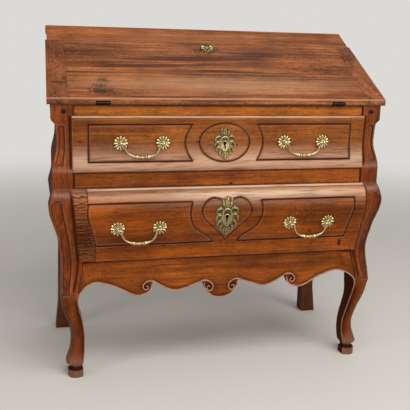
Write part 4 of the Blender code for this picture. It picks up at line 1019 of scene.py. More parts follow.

        # The flanks darken with dirt and painted shade
        flank = self.leg_flank_dirt_and_shade if z < SWELL.drawer_base else self.post_flank_dirt_and_shade
        for share in self.INNER_FLANK:
            put((inner, back + (face(inner)[1] + self.FLANK_START - back) * share), 0.0, flank)
        arris, in_leg = self.inner_arris, z < self.leg_range[0]
        for k in range(self.ARRIS_STEPS + 1):
            turn = math.pi / 2 * k / self.ARRIS_STEPS
            point = face(inner + arris * (1 - math.cos(turn)), arris * (1 - math.sin(turn)))
            put(point, self.arris_wear * (in_leg and k > 0), self.leg_flank_dirt_and_shade * (k == 0 or not in_leg))
        # Wear of the foot, and wear with a painted highlight on the shoulders
        rubbed = self.rubbed(z)
        first, last = inner + arris, outer - corner
        for k in range(1, self.face_points):
            x = first + (last - first) * k / self.face_points
            depth, dirty, worn = self.sunk(x, z, inner + self.strip * width, last - self.rim)
            cut, grime_and_shade = self.groove(x - inner, z)
            # Painted shade on the leg, and dirt on its foot
            darkened = self.shade_and_foot_dirt(z, (x - inner) / width)
            put(face(x, depth + cut), max(worn, rubbed), max(dirty, grime_and_shade, darkened))
        for k in range(self.CORNER_STEPS + 1):
            turn = math.pi / 2 * k / self.CORNER_STEPS
            point = face(last + corner * math.sin(turn), corner * (1 - math.cos(turn)))
            worn = self.corner_wear * (abs(k - self.CORNER_STEPS / 2) <= 1)
            put(point, max(worn, rubbed), self.shade_and_foot_dirt(z, (point[0] - inner) / width))
        start = face(outer, corner)[1]
        for share in self.OUTER_FLANK:
            put((outer, start + (back - start) * share), 0.0, self.rear_darkening * (share == 1.0))
        return outline, wear_and_sheen, hollow

    def groove(self, away: float, z: float) -> Pair:
        """Gives the depth of the groove beside the drawers, which leaves a ridge next to the panel, with its
        dirt and painted shade.

        Args:
            away: Distance from the inner edge.
            z: Height.

        Returns:
            Depth of the groove, and the dirt and painted shade in it, with painted shade under the drawers'
            lips and on the post beside the rail.
        """
        start = self.panel_ends[0][0]
        if not start < z < SWELL.upper_top:
            return 0.0, 0.0
        lip = SWELL.lower_lip if z < SWELL.lower_top else SWELL.upper_lip
        by_rail = SWELL.lower_top < z < SWELL.upper_base
        most, overlap, spread = self.lip_shade
        # Painted shade under the drawers' lips and on the post beside the rail
        dirty = most * bell(max(away - lip + overlap, 0), spread)
        if z < SWELL.drawer_base or (away >= lip and not by_rail):
            dirty = 0.0
        past, depth, reach = self.quirk
        near = bell(away - lip - past, reach) * smoothstep(start, start + self.quirk_foot, z)
        if z < SWELL.lower_top:
            near *= smoothstep(SWELL.lower_top, self.panel_ends[0][1] + self.quirk_top, z)
        else:
            near *= smoothstep(SWELL.upper_base, self.panel_ends[1][0], z)
        return depth * near, max(dirty, self.quirk_dirt_and_shade * near)

    def sunk(self, x: float, z: float, left: float, right: float) -> Point:
        """Gives the sunk panel's depth, its dirt with painted shade, and how worn it is, at a point of the
        face.

        Args:
            x: Distance from the middle of the desk.
            z: Height.
            left: The panel's inner edge.
            right: The panel's outer edge.

        Returns:
            Depth behind the face, dirt with painted shade, and how worn it is.
        """
        if right - left < self.panel_least_width:
            return 0.0, 0.0, 0.0
        across = (2 * x - left - right) / (right - left)
        rise = self.panel_bow * (right - left)
        bow = rise * (1 - min(across * across, 1))
        for low, high in self.panel_ends:
            top = high - rise + bow if high < SWELL.lower_top else high
            near = min(x - left, right - x, z - low - bow, top - z) / self.panel_edge
            if near > -2:
                depth = self.panel_depth * smoothstep(0, 1, near)
                return depth, self.panel_dirt_and_shade.at(near), self.panel_wear.at(near)
        return 0.0, 0.0, 0.0

    def build(self) -> None:
        """Builds the post and cuts the loper's way through its head."""
        count = int(self.head / self.step)
        low, high = self.waist
        stops = {self.head * i / count for i in range(count + 1)}
        stops |= {self.sole, *[low + (high - low) * share for share in self.WAIST_RINGS]}
        rings, wear_and_sheen, hollow = [], [], []
        # The sign also turns the rings of the left post round, so that its faces point out
        sign = self.side.value
        for z in sorted(stops):
            outline, worn, dirty = self.section(z)
            # The waist is darkened all round, with dirt and painted shade
            if low < z < high:
                dirty = [1.0] * len(outline)
            rings.append([(sign * x, FRONT + y, z) for x, y in outline][::sign])
            wear_and_sheen += worn[::sign]
            hollow += dirty[::sign]
        # The head's upper end follows the underside of the lid
        rings.append([(x, y, self.lid_under + self.lid_slope * (y - FRONT)) for x, y, _ in rings[-1]])
        wear_and_sheen += worn[::sign]
        hollow += dirty[::sign]
        shell = Shell()
        shell.rings(rings, wear_and_sheen, hollow)
        node = f"front_{self.side.label}_post"
        piece = shell.make(f"{node}_carved", POST_WALNUT, Berth("case", "post_walnut", (node,)))
        self.cut_mortise(piece)
        self.add_bead(f"{node}_bead")

    def add_bead(self, name: str) -> None:
        """Lays a thin bead along the leg's inner edge, from the apron's end down to the hoof.

        Args:
            name: The piece's name.
        """
        start, stop = self.bead_range
        count = self.BEAD_STEPS
        path, radii = [], []
        for i in range(count + 1):
            z = start + (stop - start) * i / count
            inner, depth = self.inner_edge(z)
            # It leaves the edge over its first steps, and tapers over its last
            inset = self.bead * smoothstep(0, 8, i)
            path.append(Vector((self.side.value * (inner + inset), FRONT + depth + self.bead / 2, z)))
            radii.append(self.bead * min(1, 0.2 + (count - i) / 6))
        shell = Shell()
        shell.tube(path, radii, 8, self.bead_wear)
        shell.make(name, POST_WALNUT, Berth("case", "post_walnut"))

    def cut_mortise(self, piece: bpy.types.Object) -> None:
        """Cuts the loper's way through the head.

        Args:
            piece: The post.
        """
        (x0, y0, z0), (x1, y1, z1) = self.mortise
        sign = self.side.value
        corners = [(sign * x, FRONT + y, z) for x in (x0, x1) for y in (y0, y1) for z in (z0, z1)]
        faces = [(0, 1, 3, 2), (4, 6, 7, 5), (0, 4, 5, 1), (2, 3, 7, 6), (0, 2, 6, 4), (1, 5, 7, 3)]
        mesh = bpy.data.meshes.new("loper_way")
        mesh.from_pydata(corners, [], [face[::sign] for face in faces])
        cutter = link("loper_way", mesh)
        cut = piece.modifiers.new("loper_way", "BOOLEAN")
        cut.operation = "DIFFERENCE"
        cut.solver = "EXACT"
        cut.object = cutter
        bpy.context.view_layer.update()
        solid = bpy.data.meshes.new_from_object(piece.evaluated_get(bpy.context.evaluated_depsgraph_get()))
        piece.modifiers.remove(cut)
        piece.data = solid
        bpy.data.objects.remove(cutter)
        solid.set_sharp_from_angle(angle=math.radians(CREASE))


@dataclass
class Groove:
    """A line scratched round a panel: its closed outline, depth, and width outside and inside the line."""

    outline: Outline
    depth: float = 0.0022
    outside: float = 0.0016
    inside: float = 0.0055
    # How much the groove narrows towards its foot
    narrowing: float = 1.3
    # Dirt and painted shade in the groove and beside it, and a painted highlight on the rim of the panel
    dirt: Mound = Mound(1.35, 0.0005, 0.0021)
    stain: Mound = Mound(0.45, 0.0020, 0.0036)
    rim: Mound = Mound(0.15, 0.0056, 0.0015)

    def cut(self, gap: np.ndarray) -> np.ndarray:
        """Depth of the groove at some distances from the line."""
        shape = np.where(gap > 0, 1 - gap / self.inside, 1 + gap / self.outside)
        return self.depth * np.clip(shape, 0, 1) ** self.narrowing

    def soil_and_shade(self, gap: np.ndarray) -> np.ndarray:
        """Dirt and painted shade in and beside the groove at some distances from the line."""
        return np.maximum(np.minimum(self.dirt.at(gap), 1), self.stain.at(gap))

    def distance(self, x: np.ndarray, z: np.ndarray) -> np.ndarray:
        """Gives the distance to the line, positive inside it.

        Args:
            x: Distances from the middle of the desk.
            z: Heights.

        Returns:
            Signed distances.
        """
        nearest = np.full(x.shape, 1e9)
        inside = np.zeros(x.shape, bool)
        for (x0, z0), (x1, z1) in zip(self.outline, [*self.outline[1:], self.outline[0]]):
            dx, dz = x1 - x0, z1 - z0
            t = np.clip(((x - x0) * dx + (z - z0) * dz) / max(dx * dx + dz * dz, 1e-12), 0, 1)
            nearest = np.minimum(nearest, np.hypot(x - x0 - t * dx, z - z0 - t * dz))
            if dz:
                inside ^= ((z0 > z) != (z1 > z)) & (x < x0 + (z - z0) * dx / dz)
        return np.where(inside, nearest, -nearest)


@dataclass
class Skin:
    """A carved face in rows of points: where they are, how worn each one is with painted sheen, and how dark
    from dirt and painted shade.
    """

    x: np.ndarray
    y: np.ndarray
    z: np.ndarray
    wear_and_sheen: np.ndarray
    hollow: np.ndarray


@dataclass
class CrackedEnd:
    """An old strip of end grain at the left end of a drawer front, which has cracked across."""

    low: float
    high: float
    # Where the strip starts, as (distance from the middle, height)
    start: Outline
    # Room above the foot and below the top, then mean and swing of the distance between cracks
    margin: float = 0.006
    pitch: Pair = (0.0072, 0.0030)
    tilt: float = 0.09
    waver: float = 0.0014
    # A crack, and the painted highlight of the ridge over it
    crack: Mound = Mound(1.0, 0.0, 0.0017)
    ridge: Mound = Mound(1.0, 0.0030, 0.0012)
    joint: Mound = Mound(1.0, 0.0, 0.0016)
    edge: float = 0.0015
    # Depth of the strip's face, of its cracks and of its joint
    depths: Point = (0.0003, 0.0022, 0.0012)
    # Heights between which the top gets bare and takes a painted sheen, and where old glaze is thickest
    bare: Pair = (0.500, 0.528)
    darkened: Mound = Mound(1.0, 0.425, 0.034)

    def cracks(self, skin: Skin, away: np.ndarray) -> tuple[np.ndarray, np.ndarray]:
        """Draws the cracks, with sines of unrelated periods so that no two of them look alike.

        Args:
            skin: The drawer's face.
            away: Distance of each point from the strip's start.

        Returns:
            How much of a crack there is, and how much of the painted highlight over it.
        """
        x = skin.x
        crack, ridge = np.zeros(x.shape), np.zeros(x.shape)
        level = self.low + self.margin
        step = 0
        while level < self.high - self.margin:
            broken = 0.5 + 0.5 * np.sin(150 * x + 2.9 * step)
            length = (0.45 + 0.55 * abs(math.sin(1.9 * step + 0.4))) * (0.35 + 0.65 * broken)
            waver = self.waver * np.sin(230 * x + 1.7 * step)
            over = skin.z - level + self.tilt * math.sin(2.3 * step) * away - waver
            crack = np.maximum(crack, length * self.crack.at(over))
            ridge = np.maximum(ridge, length * self.ridge.at(over))
            level += self.pitch[0] + self.pitch[1] * math.sin(3.1 * step)
            step += 1
        return crack, ridge

    def weather(self, skin: Skin) -> None:
        """Roughens the strip.

        Args:
            skin: The drawer's face, which changes.
        """
        sides, heights = zip(*self.start)
        away = -np.interp(skin.z, heights, sides) - skin.x
        strip, joint = smoothstep(0, self.edge, away), self.joint.at(away)
        crack, ridge = self.cracks(skin, away)
        face, cut, seam = self.depths
        skin.y = skin.y + strip * (face + cut * crack) + seam * joint
        # The top grows pale with wear and painted sheen, and a painted highlight runs over each crack
        bare, darkened = smoothstep(*self.bare, skin.z), self.darkened.at(skin.z)
        dirt = strip * np.clip(0.42 - 0.22 * bare + 0.25 * darkened - 0.4 * ridge + 0.85 * crack, 0, 1)
        rubbed = strip * np.clip(0.03 + 0.20 * bare + (0.34 - 0.24 * darkened) * ridge - 0.9 * crack, 0, 1)
        skin.wear_and_sheen = np.maximum(skin.wear_and_sheen * (1 - strip), rubbed)
        skin.hollow = np.maximum(skin.hollow * (1 - strip), np.maximum(dirt, joint))


@dataclass
class DrawerFront:
    """A lipped drawer front, carved from the solid to the desk's swelling profile, with grooved panels."""

    name: str
    low: float
    high: float
    half: Callable[[float], float]
    grooves: list[Groove]
    finish: Timber
    # Height, and how worn the face is with painted sheen, and the share of that which the panels escape
    rubbed: Stations
    sheltered: float = 0.30
    # Distance from the middle and share of that wear and painted sheen
    across: Stations = Stations(((0.0, 1.0),))
    end: Optional[CrackedEnd] = None
    lip: float = 0.006
    lip_round: float = 0.0038
    # The lip's back stands this far before the posts
    lip_gap: float = 0.0003
    running: float = 0.002
    back: float = 0.024
    cell: float = 0.002
    # The fine groove under the upper edge, and the dirt and painted shade in it
    quirk: Mound = Mound(0.0008, 0.0062, 0.0011)
    quirk_dirt_and_shade: Mound = Mound(0.55, 0.0062, 0.0011)
    # Wear along all edges, and wear with a painted highlight along the upper one
    edge_wear: Mound = Mound(0.2, 0.0012, 0.0014)
    top_wear_and_highlight: Mound = Mound(0.95, 0.0030, 0.0026)

    # Shares of the rounding at which an edge has points, rows of the block, and degrees of a crisp edge
    EDGE_SHARES = (0.0, 0.08, 0.25, 0.55, 1.0)
    BLOCK_ROWS = 24
    CRISP = 50.0

    def spread(self, low: float, high: float) -> list[float]:
        """Spaces places evenly, with more of them on the rounded edges.

        Args:
            low: First place.
            high: Last place.

        Returns:
            The places in order.
        """
        rounding = self.lip_round
        edge = [rounding * share for share in self.EDGE_SHARES]
        count = max(int((high - low - 2 * rounding) / self.cell), 1)
        start, stop = low + rounding, high - rounding
        middle = [start + (stop - start) * i / count for i in range(1, count)]
        return [*[low + e for e in edge], *middle, *[high - e for e in reversed(edge)]]

    def carve(self, heights: Sequence[float]) -> Skin:
        """Carves the face.

        Args:
            heights: Height of each row.

        Returns:
            The face, before its end is weathered.
        """
        widest = self.half(self.high)
        shares = np.array(self.spread(-widest, widest)) / widest
        z = np.array(heights)[:, None] * np.ones(len(shares))
        x = np.array([self.half(h) for h in heights])[:, None] * shares
        y = np.array([SWELL.front_face(h) for h in heights])[:, None] * np.ones(len(shares))
        fall = self.high - z
        edge = np.minimum(np.minimum(z - self.low, fall), widest * (1 - np.abs(shares))[None, :])
        away = np.clip(self.lip_round - edge, 0, self.lip_round)
        y = y + self.lip_round - np.sqrt(np.maximum(self.lip_round ** 2 - away ** 2, 0)) + self.quirk.at(fall)
        hollow = self.quirk_dirt_and_shade.at(fall)
        wear_and_sheen = np.maximum(self.edge_wear.at(edge), self.top_wear_and_highlight.at(fall))
        within = np.zeros(x.shape)
        for groove in self.grooves:
            gap = groove.distance(x, z)
            y = y + groove.cut(gap)
            # Dirt and painted shade in each groove, and a painted highlight on its panel's rim
            hollow = np.maximum(hollow, groove.soil_and_shade(gap))
            wear_and_sheen = np.maximum(wear_and_sheen, groove.rim.at(gap))
            within = np.maximum(within, smoothstep(0, groove.inside, gap))
        # Wear and painted sheen in bands where the face swells, which the insides of the panels partly escape
        rubbed = np.array([self.rubbed.at(h) for h in heights])[:, None]
        rubbed = rubbed * np.array([self.across.at(widest * share) for share in shares])
        wear_and_sheen = np.maximum(wear_and_sheen, rubbed * (1 - hollow) * (1 - self.sheltered * within))
        return Skin(x, y, z, wear_and_sheen, hollow)

    def build(self) -> None:
        """Builds the front."""
        heights = self.spread(self.low, self.high)
        skin = self.carve(heights)
        if self.end:
            self.end.weather(skin)
        shell = Shell()
        self.add_skin(shell, skin, heights)
        self.add_block(shell)
        node = f"{self.name}_drawer_front"
        berth = Berth(f"{self.name}_drawer", "drawer_walnut", (node,))
        shell.make(f"{node}_carved", self.finish, berth, self.CRISP)

    def add_skin(self, shell: Shell, skin: Skin, heights: Sequence[float]) -> None:
        """Adds the carved face with its lip and its flat back.

        Args:
            shell: The piece so far.
            skin: The face.
            heights: Height of each row.
        """
        rows, columns = skin.x.shape
        points = [(x, FRONT + y, z) for x, y, z in zip(skin.x.ravel(), skin.y.ravel(), skin.z.ravel())]
        faces = []
        for i in range(rows - 1):
            for j in range(columns - 1):
                a = i * columns + j
                faces.append((a, a + 1, a + columns + 1, a + columns))
        start = len(points)
        for h in heights:
            rear = FRONT + SWELL.corner_front(h) - self.lip_gap
            points += [(-self.half(h), rear, h), (self.half(h), rear, h)]
        for i in range(rows - 1):
            a, b = start + 2 * i, start + 2 * i + 2
            left, right = i * columns, i * columns + columns - 1
            faces += [(a, b, b + 1, a + 1), (left, left + columns, b, a)]
            faces.append((right, a + 1, b + 1, right + columns))
        faces.append((*range(columns - 1, -1, -1), start, start + 1))
        top = (rows - 1) * columns
        faces.append((*range(top, top + columns), start + 2 * rows - 1, start + 2 * rows - 2))
        extra = [0.0] * (2 * rows)
        shell.add(points, faces, [*skin.wear_and_sheen.ravel(), *extra], [*skin.hollow.ravel(), *extra])

    def add_block(self, shell: Shell) -> None:
        """Adds the block behind the lip, which fills the opening.

        Args:
            shell: The piece so far.
        """
        margin = self.lip + self.running
        rear = FRONT + self.back
        rings = []
        for i in range(self.BLOCK_ROWS + 1):
            h = self.low + margin + (self.high - self.low - 2 * margin) * i / self.BLOCK_ROWS
            side = SWELL.opening_half(h) - self.running
            near = FRONT + SWELL.corner_front(h) - self.running
            rings.append([(-side, near, h), (side, near, h), (side, rear, h), (-side, rear, h)])
        shell.rings(rings)


# Height, and wear with painted sheen, of the drawers' faces: most where they swell, where hands rub and the
# light falls
UPPER_WEAR_AND_SHEEN = Stations(((0.592, 0.40), (0.602, 0.62), (0.618, 0.70), (0.642, 0.24), (0.674, 0.0)))
LOWER_WEAR_AND_SHEEN = Stations(((0.470, 0.0), (0.494, 0.08), (0.506, 0.22), (0.5265, 0.80), (0.534, 0.50)))
# Distance from the middle and share of the lower drawer's wear and painted sheen, least at the left
LOWER_ACROSS = Stations((
    (-0.410, 0.40), (-0.210, 0.50), (-0.080, 0.95), (0.030, 1.10), (0.300, 0.90), (0.410, 0.68),
))
# The curved end of the lower drawer's panels, as (distance from the middle, height)
LOWER_PANEL_END = smooth_through([(0.362, 0.387), (0.372, 0.430), (0.3825, 0.472), (0.3815, 0.5088)])


# How far a line round a heart or an oval reaches inwards
FINE_LINE = 0.0035


def upper_grooves() -> list[Groove]:
    """Draws the lines on the upper drawer: two panels with hollow inner ends, and an oval.

    Returns:
        The grooves.
    """
    inner, outer, low, high, hollow = 0.0915, 0.3754, 0.6135, 0.7148, 0.0195
    middle, half_width, half_height = 0.6642, 0.0725, 0.0535
    ends = [i / 16 for i in range(17)]
    end = [(inner + hollow * math.sin(math.pi * share), low + (high - low) * share) for share in ends]
    panel = [*end, (outer, high), (outer, low)]
    turns = [2 * math.pi * i / 64 for i in range(64)]
    oval = [(half_width * math.cos(t), middle + half_height * math.sin(t)) for t in turns]
    panels = [Groove([(side.value * x, z) for x, z in panel]) for side in Side]
    return [*panels, Groove(oval, inside=FINE_LINE)]


def lower_grooves() -> list[Groove]:
    """Draws the lines on the lower drawer: two panels that flow round a heart.

    Returns:
        The grooves.
    """
    flow = smooth_through([(0.098, 0.508), (0.102, 0.473), (0.094, 0.443), (0.080, 0.4265), (0.058, 0.4135),
                           (0.043, 0.402), (0.033, 0.387)])
    heart = smooth_through([(0, 0.503), (0.018, 0.513), (0.0415, 0.5165), (0.062, 0.505), (0.0715, 0.482),
                            (0.064, 0.458), (0.042, 0.436), (0.019, 0.413), (0, 0.390)])
    panel = [*flow, *LOWER_PANEL_END]
    panels = [Groove([(side.value * x, z) for x, z in panel]) for side in Side]
    return [Groove([*heart, *[(-x, z) for x, z in reversed(heart[1:-1])]], inside=FINE_LINE), *panels]


@dataclass
class Apron:
    """The shaped rail under the lower drawer, with a raised bead along its edge that curls into scrolls."""

    front: float = 0.004
    thickness: float = 0.022
    top: float = 0.3487
    gap: float = 0.0003
    ear: float = 0.236
    # Its ends sweep forward to the posts' edges between these places, and stay clear of the drawer's lip
    sweep: Pair = (0.352, 0.411)
    lip_room: Point = (0.318, 0.340, 0.0012)
    # Height above which the drawer's lip hides it, painted in full shadow
    shadowed_from: float = 0.34
    rows: int = 36
    # How much closer its rows are at the lower edge
    crowding: float = 1.2
    # Radius, wear and lift of the bead, and the share of its radius that it loses at its end
    bead: float = 0.0018
    bead_wear: float = 0.72
    bead_lift: float = 0.0002
    bead_taper: float = 0.25
    # Middles of the scrolls, with the scoop and the painted shade round each
    eyes: Outline = field(default_factory=lambda: [(0.0350, 0.2450), (0.2180, 0.2555)])
    eye_scoop: Mound = Mound(0.0045, 0.0, 0.0125)
    eye_shade: Mound = Mound(0.95, 0.0, 0.0195)
    # Painted shadow by distance from the top, painted shade by distance from the bead's foot and at its ends,
    # and a darker underside and back
    top_shadow: Mound = Mound(1.0, 0.009, 0.007)
    bead_shade: Mound = Mound(0.55, 0.0085, 0.0038)
    end_shade: float = 0.75
    under_darkening: float = 0.9
    back_darkening: float = 0.95
    post: FrontPost = field(default_factory=lambda: FrontPost(Side.RIGHT))

    def edge(self) -> tuple[Outline, Outline, Outline]:
        """Draws the right half of the lower edge.

        Returns:
            The centre drop, the middle lobe and the outer lobe, each from the centre outwards.
        """
        first_notch, second_notch = (0.0515, 0.2640), (0.199, 0.2710)
        end = (SWELL.post_inner(self.ear) - self.gap, self.ear)
        drop = smooth_through([(0, 0.2105), (0.020, 0.2145), (0.035, 0.2245), (0.044, 0.2365),
                               (0.0490, 0.2490), first_notch])
        lobe = smooth_through([first_notch, (0.087, 0.2515), (0.124, 0.2400), (0.146, 0.2425),
                               (0.171, 0.2540), second_notch])
        outer = smooth_through([second_notch, (0.2030, 0.2530), (0.2100, 0.2410), (0.2225, 0.2335),
                                (0.242, 0.2305), (0.264, 0.238), (0.305, 0.260), (0.352, 0.2745),
                                (0.381, 0.2720), (0.399, 0.2610), (0.4065, 0.2490), end])
        return drop, lobe, outer

    def face(self, x: float, z: float, edge: float) -> Pair:
        """Gives the carved face's depth and painted shade at a point.

        Args:
            x: Distance from the middle of the desk.
            z: Height.
            edge: Height of the lower edge there.

        Returns:
            Depth and painted shade.
        """
        ends = smoothstep(*self.sweep, x)
        away = [math.hypot(x - eye_x, z - eye_z) for eye_x, eye_z in self.eyes]
        # Painted shadow under the top and under the drawer's lip, and painted shade by the bead, at the ends
        # and round the scrolls
        dirty = max(self.top_shadow.at(self.top - z), self.bead_shade.at(z - edge), self.end_shade * ends ** 4,
                    self.eye_shade.at(min(away)), float(z >= self.shadowed_from))
        low, high, room = self.lip_room
        end = self.post.inner_edge(z)[1] + room * smoothstep(low, high, z)
        return self.front + (end - self.front) * ends + self.eye_scoop.at(min(away)), dirty

    def build(self) -> None:
        """Builds the apron."""
        drop, lobe, outer = self.edge()
        foot = [*drop[:-1], *lobe[:-1], *outer]
        shell = Shell()
        rings, hollow = [], []
        back = FRONT + self.front + self.thickness
        for x, edge in [*[(-x, z) for x, z in reversed(foot[1:])], *foot]:
            ring = []
            for i in range(self.rows):
                z = edge + (self.top - edge) * (i / (self.rows - 1)) ** self.crowding
                side = min(abs(x), SWELL.post_inner(z) - self.gap)
                depth, dirty = self.face(side, z, edge)
                ring.append((math.copysign(side, x), FRONT + depth, z))
                hollow.append(dirty if i else self.under_darkening)
            rings.append([*ring, (ring[-1][0], back, self.top), (x, back, edge)])
            hollow += [self.back_darkening, self.back_darkening]
        shell.rings(rings, 0.0, hollow)
        for side in Side:
            for path in self.beads():
                self.add_bead(shell, path, side)
        shell.make("apron_carved", RAIL_WALNUT, Berth("case", "case_walnut", ("apron",)))

    def add_bead(self, shell: Shell, path: Outline, side: Side) -> None:
        """Adds one run of the bead.

        Args:
            shell: The piece so far.
            path: The run on the right half.
            side: The half that it goes to.
        """
        run = []
        for x, z in path:
            depth = self.face(x, z, z)[0] if x > self.sweep[0] else self.front
            run.append(Vector((side.value * x, FRONT + depth + self.bead_lift, z)))
        last = len(run) - 1
        radii = [self.bead * (1 - self.bead_taper * (i / last) ** 4) for i in range(last + 1)]
        shell.tube(run, radii, 8, self.bead_wear)

    def beads(self) -> list[Outline]:
        """Draws the raised edge of the right half: a run from the middle and one for each scroll.

        Returns:
            The runs, each of which ends in its eye or at its joint.
        """
        drop, lobe, outer = self.edge()
        inset = self.bead * 0.7
        # Each run leaves out the points next to a notch, where the curls pass it
        runs = (drop[:-3], lobe[4:-4], outer[3:])
        centre, middle, third = ([(x, z + inset) for x, z in run] for run in runs)
        inner_curl = smooth_through([(0.062, 0.2625), (0.050, 0.2660), (0.038, 0.2640), (0.0270, 0.2565),
                                     (0.0230, 0.2455), (0.0268, 0.2360), (0.0340, 0.2330), (0.0400, 0.2380),
                                     (0.0402, 0.2450), (0.0355, 0.2485), (0.0318, 0.2450)], 5)
        outer_curl = smooth_through([(0.188, 0.2655), (0.198, 0.2715), (0.210, 0.2730), (0.2220, 0.2670),
                                     (0.2270, 0.2560), (0.2210, 0.2475), (0.2135, 0.2495), (0.2130, 0.2565),
                                     (0.2180, 0.2585)], 5)
        half = len(middle) // 2
        return [centre, [*reversed(middle[:half]), *inner_curl], [*middle[half - 1:], *outer_curl], third]


@dataclass
class Rosette:
    """A cast daisy of fluted petals with a stud at its heart that holds one end of a bail."""

    radius: float = 0.0205
    petals: int = 12
    stud: float = 0.0048
    standoff: float = 0.014
    # How deep the outline is cut between two petals, as a share of the radius
    notch: float = 0.22
    # Dirt of the heart, and where it starts and is full between two petals
    heart_dirt: float = 0.8
    cleft: Pair = (0.36, 0.08)

    POINTS_PER_PETAL = 10
    # Share of the radius, crown height and valley depth of each ring; the last lies in the heart
    PETAL_RINGS = ((1.0, 0.0, 0.0), (1.0, 0.0012, 0.0), (0.985, 0.0026, 0.0012), (0.94, 0.0036, 0.0024),
                   (0.86, 0.0043, 0.0032), (0.75, 0.0046, 0.0034), (0.62, 0.0044, 0.0030),
                   (0.50, 0.0038, 0.0022), (0.40, 0.0032, 0.0012), (0.34, 0.0030, 0.0004))
    # Share of the radius and height of the rings round the heart's boss
    BOSS_RINGS = ((0.32, 0.0040), (0.31, 0.0052), (0.27, 0.0062))
    STUD_FOOT = 0.0064
    # Share of the stud's radius, and distance below its top
    STUD_RINGS = ((1.0, 0.0030), (0.92, 0.0012), (0.6, 0.0002), (0.2, 0.0))

    def add(self, shell: Shell, place: Matrix) -> None:
        """Adds the rosette.

        Args:
            shell: The piece so far.
            place: Its frame, with Z out of the drawer's face.
        """
        count = self.petals * self.POINTS_PER_PETAL
        turns = [2 * math.pi * i / count for i in range(count)]
        rings, hollow = [], []
        for row in self.PETAL_RINGS:
            share, crown, valley = row
            ring = []
            for turn in turns:
                petal = abs(math.cos(self.petals * turn / 2))
                reach = self.radius * share * (1 - self.notch * (1 - petal ** 0.7) * share ** 2)
                height = crown - valley * (1 - petal ** 0.8)
                ring.append((reach * math.cos(turn), reach * math.sin(turn), height))
                in_heart = row is self.PETAL_RINGS[-1]
                hollow.append(self.heart_dirt if in_heart else float(smoothstep(*self.cleft, petal)))
            rings.append(ring)
        top = self.standoff + self.stud
        hub = [(self.radius * share, height) for share, height in self.BOSS_RINGS]
        hub.append((self.stud, self.STUD_FOOT))
        hub += [(self.stud * share, top - drop) for share, drop in self.STUD_RINGS]
        for radius, height in hub:
            rings.append([(radius * math.cos(t), radius * math.sin(t), height) for t in turns])
            hollow += [0.0] * count
        shell.rings([[tuple(place @ Vector(p)) for p in ring] for ring in rings], 0.0, hollow)


@dataclass
class DropHandle:
    """A bail on two rosettes."""

    drawer: str
    side: Side
    x: float
    z: float
    spacing: float = 0.115
    drop: float = 0.0365
    bar: float = 0.0026
    # Gap between a rosette and the face, and how far the bail's pins and shoulders run
    gap: float = 0.0003
    pin: float = 0.0032
    shoulder: float = 0.004
    # How far the foot of the loop bends back towards the drawer
    set_back: float = 0.0013
    # Rise along the bar of the knop, its neck, the leafy swelling and the ring that ends it
    turnings: tuple[Mound, ...] = (Mound(0.0038, 0.0, 0.0034), Mound(0.0020, 0.0075, 0.0014),
                                   Mound(0.0027, 0.0155, 0.0062), Mound(0.0012, 0.0245, 0.0016))

    # Exponents of the loop's squarish curve, points on half of it, sides of its bar, degrees of crisp edges
    LOOP_CURVE = (2.5, 0.4)
    LOOP_POINTS = 60
    BAR_SIDES = 14
    ROSETTE_CRISP = 55.0
    BAIL_CRISP = 60.0

    def seat(self, x: float, radius: float) -> Matrix:
        """Gives the frame of a disc that sits on the curved face.

        Args:
            x: Its distance from the middle of the desk.
            radius: Its radius.

        Returns:
            The frame, with Z out of the face.
        """
        step = radius / 4
        lean = (SWELL.front_face(self.z + step) - SWELL.front_face(self.z - step)) / (2 * step)
        turn = math.pi / 2 - math.atan(lean)
        along = Vector((0, math.cos(turn), math.sin(turn)))
        normal = Vector((0, -math.sin(turn), math.cos(turn)))
        centre = Vector((x, SWELL.front_face(self.z), self.z))
        lift = 0.0
        for i in range(-8, 9):
            point = centre + along * (radius * i / 8)
            lift = max(lift, (point.y - SWELL.front_face(point.z)) * -normal.y)
        centre += normal * (lift + self.gap) + Vector((0, FRONT, 0))
        return Matrix.Translation(centre) @ Matrix.Rotation(turn, 4, "X")

    def build(self) -> None:
        """Builds both rosettes and the bail."""
        label = f"{self.drawer}_drawer_{self.side.label}"
        axis = Vector((0, 0, 0))
        flower = Rosette()
        for end in Side:
            place = self.seat(self.side.value * self.x + end.value * self.spacing / 2, flower.radius)
            shell = Shell()
            flower.add(shell, place)
            node = f"{label}_{'outer' if end is self.side else 'inner'}_rosette"
            berth = Berth(f"{self.drawer}_drawer", "gilt_brass", (node,))
            shell.make(f"{node}_cast", GILT_BRASS, berth, self.ROSETTE_CRISP)
            axis += (place @ Vector((0, 0, flower.standoff))) / 2
        self.add_bail(axis, flower, f"{label}_bail")

    def add_bail(self, axis: Vector, flower: Rosette, node: str) -> None:
        """Builds the bail, which hangs from the studs.

        Args:
            axis: Middle of the line that it swings on.
            flower: The rosettes' sizes.
            node: The node that it stands for.
        """
        half = self.spacing / 2 - flower.stud - 2 * self.bar
        across, down = self.LOOP_CURVE
        path = []
        for i in range(-self.LOOP_POINTS, self.LOOP_POINTS + 1):
            share = math.sin(math.pi / 2 * i / self.LOOP_POINTS)
            hang = (1 - abs(share) ** across) ** down
            path.append(Vector((half * share, self.set_back * hang, -self.drop * hang)))
        pin, shoulder = (Vector((half + more, 0, 0)) for more in (2 * self.bar + self.pin, self.shoulder))
        path = [-pin, -shoulder, *path, shoulder, pin]
        radii = [self.bar + sum(turning.at(abs(place.x)) for turning in self.turnings) for place in path]
        shell = Shell()
        shell.tube([axis + place for place in path], radii, self.BAR_SIDES)
        berth = Berth(f"{self.drawer}_{self.side.label}_bail", "gilt_brass", (node,))
        shell.make(f"{node}_cast", GILT_BRASS, berth, self.BAIL_CRISP)


